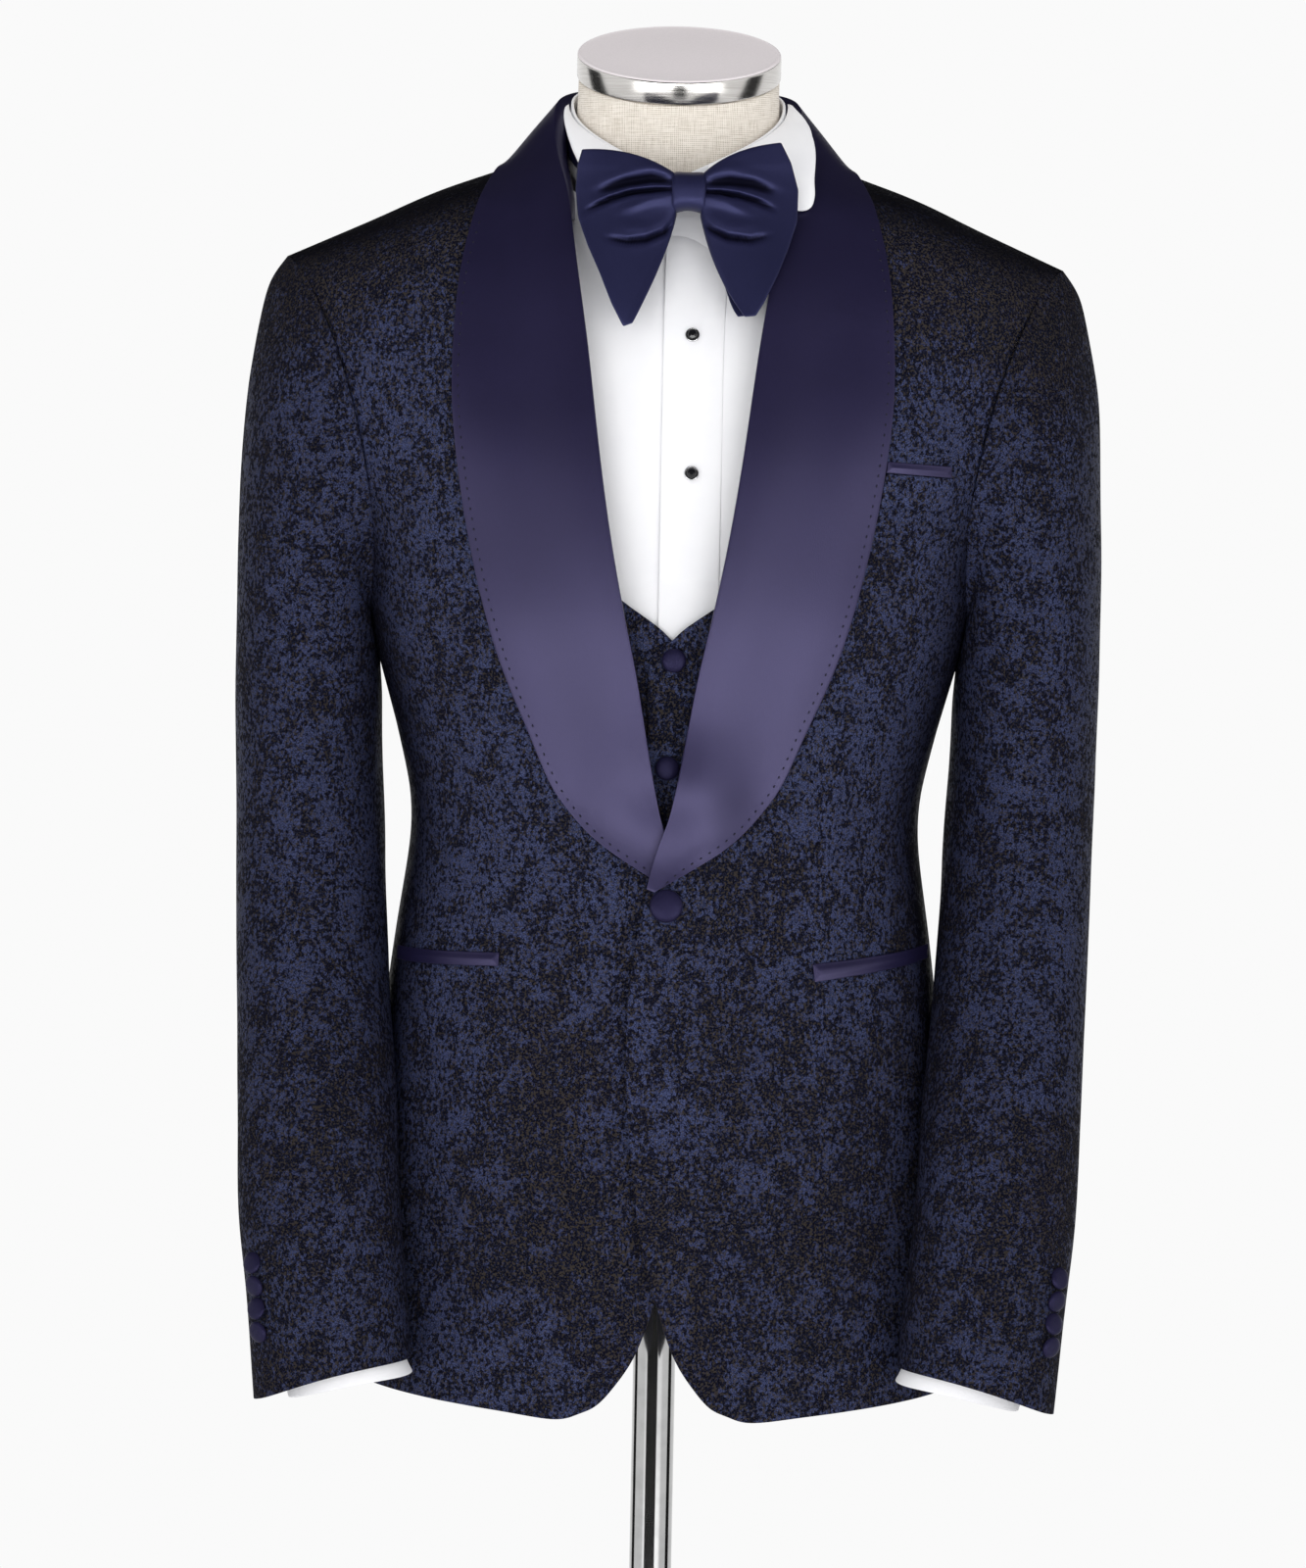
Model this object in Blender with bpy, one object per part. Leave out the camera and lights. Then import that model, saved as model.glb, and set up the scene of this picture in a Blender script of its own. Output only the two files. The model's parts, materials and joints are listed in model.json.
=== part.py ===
"""A dinner suit set (jacket, waistcoat, dress shirt and bow tie) on a limbless dress form.

Metres, +Z up. The front faces -Y, the wearer's left is +X, and the origin is on the
floor at the middle of the base. Every cloth piece is a thin wall on one trunk surface:
each layer lies a set distance outside or inside it, and pieces stop 0.3 mm apart.
"""

import math

import bmesh
import bpy
import numpy as np
from mathutils import Matrix, Vector

GAP = 0.0003
FRONT = -1
BACK = 1
LEFT = 1
RIGHT = -1

# Distance of each layer's outer face from the trunk surface, and its wall.
JACKET = (0.0, 0.0024)
VEST = (-0.0055, 0.0014)
SHIRT = (-0.0108, 0.0010)
FORM_OUT = -0.0164
SATIN_WALL = 0.0013
JET_WALL = 0.0012

SEAM_DEPTH = 0.008
ARMPIT_HEIGHT = 1.215
VEST_ARMPIT_HEIGHT = 1.200
SHIRT_ARMPIT_HEIGHT = 1.228
ARMHOLE_ANGLES = (180, 160, 140, 120, 100, 80, 60, 40, 20, 0)

# The left front closes over the right one, and both roll open above the button.
JACKET_LAP, UNDER_LAP, VEST_LAP = 0.0073, 0.0012, 0.0027
LAP_FULL, LAP_END = 0.018, 0.060
LAP_TOP, LAP_FADE = 1.100, 0.060
ROLL_LIFT, ROLL_WIDTH = 0.0045, 0.050
ROLL_START, ROLL_FADE = 1.070, 0.040

SHIRT_CENTRE = 0.0115
VEST_CENTRE = 0.0022


class Table:
    """Rows with named columns, read smoothly between the rows along the first column."""

    def __init__(self, columns, rows):
        self.columns = columns.split()
        self.rows = np.array(rows, float)
        self.keys = self.rows[:, 0]
        self.steps = np.diff(self.keys)
        self.slopes = {name: self.slopes_of(name) for name in self.columns[1:]}

    def column(self, name):
        return self.rows[:, self.columns.index(name)]

    def slopes_of(self, name):
        """Slopes at the rows that keep the curve from overshooting them."""
        rises = np.diff(self.column(name)) / self.steps
        slopes = np.concatenate([rises[:1], np.zeros(len(rises) - 1), rises[-1:]])
        for i, (before, after) in enumerate(zip(rises, rises[1:]), 1):
            if before * after > 0:
                slopes[i] = 2 * before * after / (before + after)
        return slopes

    def at(self, name, value):
        values, slopes = self.column(name), self.slopes[name]
        value = min(max(value, self.keys[0]), self.keys[-1])
        i = min(int(np.searchsorted(self.keys, value, "right")) - 1, len(self.steps) - 1)
        step = self.steps[i]
        t = (value - self.keys[i]) / step
        return float(
            values[i] * (1 + 2 * t) * (1 - t) ** 2
            + slopes[i] * step * t * (1 - t) ** 2
            + values[i + 1] * t * t * (3 - 2 * t)
            + slopes[i + 1] * step * t * t * (t - 1)
        )


# Horizontal sections of the closed jacket. Above the armpit the half width is that of
# the whole section, which the armholes cut.
TRUNK = Table(
    "height half_width front back squareness",
    [
        (0.745, 0.1815, 0.1200, 0.1170, 2.05),
        (0.850, 0.1740, 0.1185, 0.1160, 2.05),
        (0.950, 0.1660, 0.1150, 0.1110, 2.10),
        (1.020, 0.1575, 0.1120, 0.1050, 2.15),
        (1.090, 0.1492, 0.1110, 0.1000, 2.20),
        (1.155, 0.1620, 0.1170, 0.1050, 2.25),
        (1.215, 0.1780, 0.1235, 0.1130, 2.30),
        (1.245, 0.1812, 0.1250, 0.1160, 2.30),
        (1.280, 0.1930, 0.1245, 0.1185, 2.30),
        (1.316, 0.2080, 0.1210, 0.1190, 2.30),
        (1.350, 0.2190, 0.1145, 0.1175, 2.30),
        (1.390, 0.2270, 0.1040, 0.1120, 2.30),
        (1.430, 0.2360, 0.0920, 0.1040, 2.30),
        (1.500, 0.2450, 0.0820, 0.0960, 2.30),
    ],
)
SHOULDER = Table(
    "across height",
    [
        (0.000, 1.5060),
        (0.070, 1.4812),
        (0.100, 1.4695),
        (0.140, 1.4550),
        (0.177, 1.4380),
        (0.227, 1.4157),
    ],
)
# How far down the shoulder rounds over, at the neck and further out.
NECK_ROUNDING, SHOULDER_ROUNDING, ROUNDING_WIDTH = 0.130, 0.060, 0.100

# The jacket's front edge: from the hem, past the button, and up the roll line.
FRONT_EDGE = Table(
    "height across",
    [
        (0.7512, 0.0560),
        (0.7552, 0.0430),
        (0.7605, 0.0325),
        (0.7735, 0.0215),
        (0.7915, 0.0105),
        (0.8190, 0.0010),
        (0.8450, -0.0065),
        (0.8720, -0.0115),
        (0.9250, -0.0170),
        (0.9750, -0.0190),
        (1.0200, -0.0160),
        (1.0576, -0.0084),
        (1.0800, -0.0032),
        (1.0960, 0.0025),
        (1.1200, 0.0075),
        (1.1500, 0.0128),
        (1.1880, 0.0195),
        (1.2180, 0.0260),
        (1.2530, 0.0328),
        (1.2970, 0.0400),
        (1.3250, 0.0437),
        (1.3700, 0.0500),
        (1.3950, 0.0535),
        (1.4130, 0.0580),
        (1.4575, 0.0650),
        (1.4790, 0.0745),
    ],
)


def smooth_step(t):
    t = min(max(t, 0.0), 1.0)
    return t * t * (3 - 2 * t)


def unit(vector):
    return vector / np.linalg.norm(vector)


def shoulder_height(x):
    return SHOULDER.at("height", abs(x))


def rounding(x):
    fade = 1 - smooth_step(abs(x) / ROUNDING_WIDTH)
    return SHOULDER_ROUNDING + (NECK_ROUNDING - SHOULDER_ROUNDING) * fade


def full_depth(face, x, z):
    """The section's depth at x, before the shoulder's rounding."""
    power = TRUNK.at("squareness", z)
    reach = 1 - (abs(x) / TRUNK.at("half_width", z)) ** power
    depth = TRUNK.at("front" if face == FRONT else "back", z)
    return face * depth * max(reach, 0.0) ** (1 / power)


def trunk_depth(face, x, z):
    drop = max(shoulder_height(x) - z, 0.0)
    rise = 1 - min(drop / rounding(x), 1.0)
    return SEAM_DEPTH * rise + (full_depth(face, x, z) - SEAM_DEPTH * rise) * math.sqrt(1 - rise**2)


def over_shoulder(face, x, along):
    """The point a way down from the shoulder line, going past it to the other face."""
    if along < 0:
        face, along = -face, -along
    radius = rounding(x)
    z = shoulder_height(x) - radius * (1 - math.cos(along / radius))
    return np.array((x, trunk_depth(face, x, z), z))


def round_side(face, turn, z):
    """The point of the section at a turn from the middle, going past the side."""
    if turn > math.pi / 2:
        face, turn = -face, math.pi - turn
    x = TRUNK.at("half_width", z) * math.sin(turn)
    return np.array((x, trunk_depth(face, x, z), z))


def trunk_normal(face, x, z):
    sign, x = (-1 if x < 0 else 1), abs(x)
    radius, step = rounding(x), 0.0004
    drop = max(shoulder_height(x) - z, 0.0)
    if drop < 0.95 * radius:
        along = radius * math.acos(1 - drop / radius)
        first = over_shoulder(face, x + step, along) - over_shoulder(face, x - step, along)
        second = over_shoulder(face, x, along + step) - over_shoulder(face, x, along - step)
    else:
        turn = math.asin(min(x / TRUNK.at("half_width", z), 1.0))
        first = round_side(face, turn + step, z) - round_side(face, turn - step, z)
        second = round_side(face, turn, z + step) - round_side(face, turn, z - step)
    normal = unit(np.cross(first, second))
    core = np.array((0.5 * x, 0.004, min(z, shoulder_height(x) - 0.1)))
    if normal @ (np.array((x, trunk_depth(face, x, z), z)) - core) < 0:
        normal = -normal
    if x < GAP:
        normal = unit(normal * (0, 1, 1))
    return normal * (sign, 1, 1)


def trunk(face, x, z, out=0.0):
    return np.array((x, trunk_depth(face, x, z), z)) + out * trunk_normal(face, x, z)


# --- armholes -----------------------------------------------------------------------
ARMHOLE_MIDDLE, ARMHOLE_REACH = 0.2025, 0.0245
ARMHOLE_DIP = {FRONT: 0.0205, BACK: 0.0120}
ARMHOLE_CENTRE = np.array((0.2040, -0.0040, 1.3150))


def armhole_share(degrees):
    """How far up from the armpit the seam is, from 0 at 180 to 1 at 0."""
    return (1 + math.cos(math.radians(degrees))) / 2


def armhole_place(face, degrees, armpit):
    """(x, z) of the armhole seam, from 180 at the armpit to 0 at the shoulder."""
    turn = math.radians(degrees)
    x = ARMHOLE_MIDDLE + ARMHOLE_REACH * math.cos(turn)
    x -= ARMHOLE_DIP[face] * math.sin(turn) ** 1.5
    if degrees == 180:
        x = TRUNK.at("half_width", armpit)
    return x, armpit + armhole_share(degrees) * (shoulder_height(x) - armpit)


# --- meshes -------------------------------------------------------------------------
MATERIALS = {
    "jacquard": ((0.012, 0.018, 0.060), 0.75, 0.0),
    "satin": ((0.030, 0.028, 0.105), 0.35, 0.0),
    "bow_satin": ((0.022, 0.024, 0.095), 0.38, 0.0),
    "shirt_cotton": ((0.86, 0.86, 0.90), 0.80, 0.0),
    "stud_black": ((0.010, 0.010, 0.012), 0.15, 0.0),
    "linen": ((0.62, 0.56, 0.47), 0.90, 0.0),
    "brushed_steel": ((0.62, 0.60, 0.58), 0.35, 1.0),
    "chrome": ((0.75, 0.75, 0.77), 0.08, 1.0),
}


def material(name):
    found = bpy.data.materials.get(name)
    if found is None:
        colour, roughness, metallic = MATERIALS[name]
        found = bpy.data.materials.new(name)
        found.use_nodes = True
        shader = found.node_tree.nodes["Principled BSDF"]
        shader.inputs["Base Color"].default_value = (*colour, 1)
        shader.inputs["Roughness"].default_value = roughness
        shader.inputs["Metallic"].default_value = metallic
        found.diffuse_color = (*colour, 1)
    return found


def finish(name, work, material_name):
    """Turns a bmesh into the named object."""
    bmesh.ops.recalc_face_normals(work, faces=work.faces)
    if work.calc_volume(signed=True) < 0:
        bmesh.ops.reverse_faces(work, faces=work.faces)
    mesh = bpy.data.meshes.new(name)
    work.to_mesh(mesh)
    work.free()
    mesh.shade_smooth()
    mesh.set_sharp_from_angle(angle=math.radians(40))
    mesh.materials.append(material(material_name))
    piece = bpy.data.objects.new(name, mesh)
    bpy.context.scene.collection.objects.link(piece)
    return piece


def wall(name, outer, inner, material_name, ring=False):
    """A closed wall: a grid laid on the outer points, extruded to the inner ones."""
    outer, inner = np.asarray(outer), np.asarray(inner)
    if ring:
        outer = np.concatenate([outer, outer[:, :1]], axis=1)
        inner = np.concatenate([inner, inner[:, :1]], axis=1)
    rows, columns = outer.shape[:2]
    work = bmesh.new()
    spot = work.verts.layers.int.new("spot")
    bmesh.ops.create_grid(work, x_segments=columns - 1, y_segments=rows - 1, size=0.5)
    for vertex in work.verts:
        column = round((vertex.co.x + 0.5) * (columns - 1))
        row = round((vertex.co.y + 0.5) * (rows - 1))
        vertex[spot] = row * columns + column
        vertex.co = outer[row, column]
    bmesh.ops.remove_doubles(work, verts=work.verts, dist=0.00001)
    made = bmesh.ops.extrude_face_region(work, geom=work.faces[:], use_keep_orig=True)
    for item in made["geom"]:
        if isinstance(item, bmesh.types.BMVert):
            item.co = inner.reshape(-1, 3)[item[spot]]
    return finish(name, work, material_name)


def mirrored(points, side):
    return np.asarray(points) * (side, 1, 1)


def outward_normals(points):
    """Unit normals of a tube's grid of points, pointing away from its middle."""
    across = np.roll(points, -1, axis=1) - np.roll(points, 1, axis=1)
    normals = np.cross(across, np.gradient(points, axis=0))
    normals /= np.linalg.norm(normals, axis=2, keepdims=True)
    away = points - points.mean(axis=1, keepdims=True)
    return normals * np.sign((normals * away).sum())


def lathe(name, profile, material_name, segments, place=Matrix()):
    """A turned solid: profile gives (radius, height), from one end of the axis to the other."""
    work = bmesh.new()
    points = [work.verts.new((radius, 0, height)) for radius, height in profile]
    edges = [work.edges.new(pair) for pair in zip(points, points[1:])]
    bmesh.ops.spin(
        work,
        geom=points + edges,
        axis=(0, 0, 1),
        cent=(0, 0, 0),
        angle=math.tau,
        steps=segments,
        use_merge=True,
    )
    bmesh.ops.remove_doubles(work, verts=work.verts, dist=0.000001)
    bmesh.ops.transform(work, matrix=place, verts=work.verts)
    return finish(name, work, material_name)


def facing(centre, direction):
    """The placement that turns +Z to a direction."""
    turn = Vector(direction).to_track_quat("Z", "Y").to_matrix().to_4x4()
    return Matrix.Translation(Vector(centre)) @ turn


# --- trunk panels -------------------------------------------------------------------
def meets(edge, armpit):
    """For the rows above the armpit, where a front edge, an x for each height, meets them."""

    def across(degrees):
        x = 0.03
        for _ in range(30):
            z = armpit + armhole_share(degrees) * (shoulder_height(x) - armpit)
            x = 0.5 * x + 0.5 * edge(z)
        return x

    return across


def panel(name, side, face, layer, material_name, low_rows, inner_edge, columns, **options):
    """A wall on the trunk surface between an inner edge and the side seam and armhole.

    low_rows lists (inner x, inner height, outer height) up to the armpit. Above it a row
    lies at one share of the way from the armpit to the shoulder line, and inner_edge
    gives its inner x from the armhole's angle.
    """
    armpit = options.get("armpit", ARMPIT_HEIGHT)
    cut = options.get("cut", 0.0)
    lift = options.get("lift", lambda x, z: 0.0)
    out, thickness = layer
    shift = np.array((0.0, face * GAP / 2, 0.0))
    outer, inner = [], []

    def add_row(places):
        lifted = [out + lift(x, z) for x, z in places]
        outer.append([trunk(face, x, z, up) + shift for (x, z), up in zip(places, lifted)])
        inner.append(
            [trunk(face, x, z, up - thickness) + shift for (x, z), up in zip(places, lifted)]
        )

    ways = [k / (columns - 1) for k in range(columns)]
    for inner_x, inner_z, outer_z in low_rows:
        outer_x = TRUNK.at("half_width", outer_z)
        turned = [math.sin(way * math.pi / 2) for way in ways]
        add_row(
            [
                (inner_x + (outer_x - inner_x) * way, inner_z + (outer_z - inner_z) * way)
                for way in turned
            ]
        )
    for degrees in ARMHOLE_ANGLES:
        share = armhole_share(degrees)
        inner_x = inner_edge(degrees)
        outer_x = armhole_place(face, degrees, armpit)[0] - cut * share
        even = smooth_step(2.5 * share)
        places = []
        for way in ways:
            x = inner_x + (outer_x - inner_x) * (
                even * way + (1 - even) * math.sin(way * math.pi / 2)
            )
            places.append((x, armpit + share * (shoulder_height(x) - armpit)))
        add_row(places)
    return wall(name, mirrored(outer, side), mirrored(inner, side), material_name)


def patch(name, side, corners, spans, gap, thickness, material_name, lift):
    """A thin piece lying on the front: corners are (x, z), inner low, outer low, inner
    high and outer high, and spans counts its faces across and up."""
    across, up = spans
    low_in, low_out, high_in, high_out = (np.array(corner) for corner in corners)
    outer, inner = [], []
    for row in range(up + 1):
        start = low_in + (high_in - low_in) * row / up
        end = low_out + (high_out - low_out) * row / up
        places = [start + (end - start) * k / across for k in range(across + 1)]
        base = [gap + lift(x, z) for x, z in places]
        inner.append([trunk(FRONT, x, z, out) for (x, z), out in zip(places, base)])
        outer.append([trunk(FRONT, x, z, out + thickness) for (x, z), out in zip(places, base)])
    return wall(name, mirrored(outer, side), mirrored(inner, side), material_name)


# --- the jacket ---------------------------------------------------------------------
def roll_lift(x, z):
    """How far the fronts stand off beside the roll line, above the button."""
    start = smooth_step((z - ROLL_START) / ROLL_FADE)
    past_edge = (x - FRONT_EDGE.at("across", z)) / ROLL_WIDTH
    over_shoulder_fade = 1 - smooth_step((z - 1.40) / 0.06)
    return ROLL_LIFT * start * over_shoulder_fade * (1 - smooth_step(past_edge))


def lap_share(x, z):
    across = 1 - smooth_step((x - LAP_FULL) / (LAP_END - LAP_FULL))
    up = 1 - smooth_step((z - LAP_TOP) / LAP_FADE)
    return across * up


def jacket_lift(side):
    lap = JACKET_LAP if side == LEFT else UNDER_LAP
    return lambda x, z: roll_lift(x, z) + lap * lap_share(x, z)


# The height of each row at the front edge, and at the side seam.
JACKET_FRONT_ROWS = (
    (0.7512, 0.7610),
    (0.7552, 0.7680),
    (0.7605, 0.7760),
    (0.7735, 0.7900),
    (0.7915, 0.8100),
    (0.8190, 0.8380),
    (0.8450, 0.8640),
    (0.8720, 0.8900),
    (0.9250, 0.9400),
    (0.9750, 0.9850),
    (1.0200, 1.0250),
    (1.0576, 1.0620),
    (1.0800, 1.0840),
    (1.1000, 1.1040),
    (1.1250, 1.1290),
    (1.1550, 1.1570),
    (1.1880, 1.1860),
)
JACKET_BACK_HEIGHTS = (0.760, 0.800, 0.850, 0.905, 0.960, 1.010, 1.055, 1.100, 1.150, 1.185)
BACK_NECK = {40: 0.0, 20: 0.058, 0: 0.076}


def back_edge(degrees):
    """The back panels reach the centre up to the neck seam, which curves out to the shoulder."""
    return BACK_NECK.get(degrees, 0.0) if degrees < 60 else 0.0


def jacket_fronts():
    for side, end in ((LEFT, "left"), (RIGHT, "right")):
        rows = [
            (FRONT_EDGE.at("across", inner_z), inner_z, outer_z)
            for inner_z, outer_z in JACKET_FRONT_ROWS
        ]
        panel(
            f"jacket_front_{end}",
            side,
            FRONT,
            JACKET,
            "jacquard",
            rows,
            meets(lambda z: FRONT_EDGE.at("across", z), ARMPIT_HEIGHT),
            9,
            lift=jacket_lift(side),
        )


def jacket_backs():
    for side, end in ((LEFT, "left"), (RIGHT, "right")):
        panel(
            f"jacket_back_{end}",
            side,
            BACK,
            JACKET,
            "jacquard",
            [(GAP / 2, height, height) for height in JACKET_BACK_HEIGHTS],
            lambda degrees: max(back_edge(degrees), GAP / 2),
            9,
        )


# Rings of the hanging sleeve, from just outside the armhole seam to the hem. Each runs
# from its outer point to its inner point round a middle depth, and blend tells how far
# it has turned from the armhole's shape to an oval. The hem dips to its outer corner.
SLEEVE = Table(
    "ring outer_x outer_z inner_x inner_z middle_y half_depth blend dip",
    [
        (1, 0.2358, 1.4030, 0.1797, 1.2050, 0.0000, 0.0600, 0.06, 1.0),
        (2, 0.2413, 1.3860, 0.1790, 1.1960, 0.0000, 0.0620, 0.20, 1.0),
        (3, 0.2478, 1.3520, 0.1768, 1.1840, 0.0010, 0.0640, 0.42, 1.0),
        (4, 0.2512, 1.3170, 0.1738, 1.1700, 0.0020, 0.0655, 0.65, 1.0),
        (5, 0.2537, 1.2450, 0.1700, 1.1530, 0.0020, 0.0655, 0.88, 1.0),
        (6, 0.2535, 1.1750, 0.1668, 1.1200, 0.0000, 0.0620, 1.00, 1.0),
        (7, 0.2522, 1.1050, 0.1640, 1.0750, -0.0060, 0.0580, 1.00, 1.0),
        (8, 0.2498, 1.0350, 0.1610, 1.0230, -0.0220, 0.0550, 1.00, 1.0),
        (9, 0.2470, 0.9750, 0.1568, 0.9700, -0.0480, 0.0520, 1.00, 1.0),
        (10, 0.2440, 0.9150, 0.1515, 0.9150, -0.0720, 0.0490, 1.00, 1.0),
        (11, 0.2415, 0.8620, 0.1480, 0.8620, -0.0860, 0.0460, 1.00, 1.0),
        (12, 0.2368, 0.8200, 0.1440, 0.8230, -0.0930, 0.0440, 1.00, 1.2),
        (13, 0.2310, 0.7580, 0.1400, 0.7840, -0.0980, 0.0420, 1.00, 1.9),
    ],
)


def sleeve_angles(segments):
    """Degrees round a sleeve, from the outer point over the front to the back."""
    return [360 * k / segments for k in range(segments)]


def armhole_ring(layer_out, armpit, segments):
    points = []
    for degrees in sleeve_angles(segments):
        face, folded = (FRONT, degrees) if degrees <= 180 else (BACK, 360 - degrees)
        x, z = armhole_place(face, folded, armpit)
        points.append(trunk(face, x, z, layer_out))
    return np.array(points)


def sleeve_grid(armhole, rings, inset=0.0, armpit_lift=0.0):
    """The rings of a sleeve, drawn in by an inset for one that lies inside another."""
    segments = len(armhole)
    angles = sleeve_angles(segments)
    top, bottom = armhole[0], armhole[segments // 2]
    grid = [armhole + (GAP, 0, 0)]
    for ring in rings:
        row = dict(zip(SLEEVE.columns, [ring] + [SLEEVE.at(n, ring) for n in SLEEVE.columns[1:]]))
        rise = armpit_lift * (1 - row["blend"])
        outer = np.array((row["outer_x"] - inset, row["outer_z"] - inset * (1 - row["blend"])))
        inner = np.array((row["inner_x"] + inset, row["inner_z"] + rise))
        points = []
        for degrees, seam in zip(angles, armhole):
            share = (1 + math.cos(math.radians(degrees))) / 2
            sideways = -math.sin(math.radians(degrees))
            x = inner[0] + (outer[0] - inner[0]) * share
            z = inner[1] + (outer[1] - inner[1]) * share ** row["dip"]
            y = row["middle_y"] + (row["half_depth"] - inset) * sideways
            moved = seam + share * (np.array((outer[0], 0, outer[1])) - top * (1, 0, 1))
            moved += (1 - share) * (np.array((inner[0], 0, inner[1])) - bottom * (1, 0, 1))
            moved[1] *= 1 - inset / row["half_depth"]
            points.append(moved + row["blend"] * (np.array((x, y, z)) - moved))
        grid.append(np.array(points))
    return np.array(grid)


def tube(name, side, grid, thickness, material_name, first_inner=None):
    inner = grid - thickness * outward_normals(grid)
    if first_inner is not None:
        inner[0] = first_inner
    return wall(name, mirrored(grid, side), mirrored(inner, side), material_name, ring=True)


def toward_armhole(points, thickness):
    """The first ring's inner points, drawn to the armhole's middle so that seams stay clear."""
    way = ARMHOLE_CENTRE - points
    return points + thickness * way / np.linalg.norm(way, axis=1, keepdims=True)


SLEEVE_SEGMENTS = 18
SLEEVE_RINGS = tuple(SLEEVE.keys)
SLEEVE_WALL, SLEEVE_SEAM_WALL = 0.0018, 0.0014


def sleeves():
    for side, end in ((LEFT, "left"), (RIGHT, "right")):
        armhole = armhole_ring(JACKET[0], ARMPIT_HEIGHT, SLEEVE_SEGMENTS)
        grid = sleeve_grid(armhole, SLEEVE_RINGS)
        inner = toward_armhole(grid[0], SLEEVE_SEAM_WALL)
        tube(f"sleeve_{end}", side, grid, SLEEVE_WALL, "jacquard", inner)


# The lapel's rows: the height at the roll line, and the outer edge.
LAPEL_ROWS = (
    (1.0590, -0.0050, 1.0572),
    (1.0730, 0.0140, 1.0690),
    (1.0870, 0.0310, 1.0800),
    (1.0990, 0.0455, 1.0920),
    (1.1140, 0.0583, 1.1070),
    (1.1310, 0.0675, 1.1220),
    (1.1560, 0.0790, 1.1490),
    (1.1870, 0.0925, 1.1800),
    (1.2200, 0.1045, 1.2170),
    (1.2630, 0.1150, 1.2620),
    (1.3060, 0.1222, 1.3060),
    (1.3420, 0.1255, 1.3420),
    (1.3750, 0.1250, 1.3750),
    (1.4090, 0.1220, 1.4100),
    (1.4350, 0.1150, 1.4400),
    (1.4480, 0.1105, 1.4530),
    (1.4600, 0.1050, 1.4640),
)
LAPEL_EDGE = Table("height across", [(z, x) for _, x, z in LAPEL_ROWS])
# The collar's rows, from beside the neck to the centre back: the fold, and the outer
# edge as an x, which face it lies on, and its drop below the shoulder line.
COLLAR_ROWS = (
    (0.0672, -0.0330, 1.4810, 0.1015, FRONT, 0.0012),
    (0.0685, -0.0080, 1.4985, 0.0970, BACK, 0.0010),
    (0.0675, 0.0170, 1.5085, 0.0900, BACK, 0.0060),
    (0.0610, 0.0410, 1.5140, 0.0760, BACK, 0.0125),
    (0.0470, 0.0590, 1.5170, 0.0560, BACK, 0.0195),
    (0.0255, 0.0695, 1.5185, 0.0290, BACK, 0.0287),
    (GAP / 2, 0.0722, 1.5190, GAP / 2, BACK, 0.0385),
)
LAPEL_COLUMNS = 7
LAPEL_OVERHANG = 0.0012
LAPEL_GAP_LOW, LAPEL_GAP_HIGH = 0.0012, 0.0022
LAPEL_ROLL = 0.0035
COLLAR_BULGE = 0.0040


def lapel_stand_off(z, way):
    """The lapel's distance from the front, most at the roll and least at its edge."""
    open_share = smooth_step((z - 1.09) / 0.04)
    over_shoulder_share = smooth_step((z - 1.41) / 0.04)
    spread = max(open_share * (1 - way**4), over_shoulder_share)
    gap = LAPEL_GAP_LOW + (LAPEL_GAP_HIGH - LAPEL_GAP_LOW) * spread
    return gap + LAPEL_ROLL * open_share * (1 - way) ** 2


def lapel_grids(lift):
    ways = [k / (LAPEL_COLUMNS - 1) for k in range(LAPEL_COLUMNS)]
    outer, inner = [], []
    for inner_z, outer_x, outer_z in LAPEL_ROWS:
        inner_x = FRONT_EDGE.at("across", inner_z) - LAPEL_OVERHANG
        top, under = [], []
        for way in ways:
            x = inner_x + (outer_x - inner_x) * way
            z = inner_z + (outer_z - inner_z) * way
            out = lift(x, z) + lapel_stand_off(z, way)
            under.append(trunk(FRONT, x, z, out))
            top.append(trunk(FRONT, x, z, out + SATIN_WALL))
        outer.append(top)
        inner.append(under)
    for fold_x, fold_y, fold_z, edge_x, face, drop in COLLAR_ROWS:
        edge_z = shoulder_height(edge_x) - drop
        edge = trunk(face, edge_x, edge_z, LAPEL_GAP_HIGH)
        fold = np.array((fold_x, fold_y, fold_z))
        away = unit(np.array((fold_x, fold_y, 0.0)))
        if fold_x < GAP:
            away = np.array((0.0, 1.0, 0.0))
        normal = unit(away + (0, 0, 0.35))
        edge_normal = trunk_normal(face, edge_x, edge_z)
        if fold_x < GAP:
            edge_normal = unit(edge_normal * (0, 1, 1))
        top, under = [], []
        for way in ways:
            point = fold + (edge - fold) * way + COLLAR_BULGE * math.sin(math.pi * way) * away
            point += LAPEL_GAP_HIGH * away * (1 - way)
            thick = unit(normal * (1 - way) + edge_normal * way) * SATIN_WALL
            under.append(point)
            top.append(point + thick)
        outer.append(top)
        inner.append(under)
    return outer, inner


def lapels():
    for side, end in ((LEFT, "left"), (RIGHT, "right")):
        outer, inner = lapel_grids(jacket_lift(side))
        wall(f"lapel_{end}", mirrored(outer, side), mirrored(inner, side), "satin")


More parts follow.
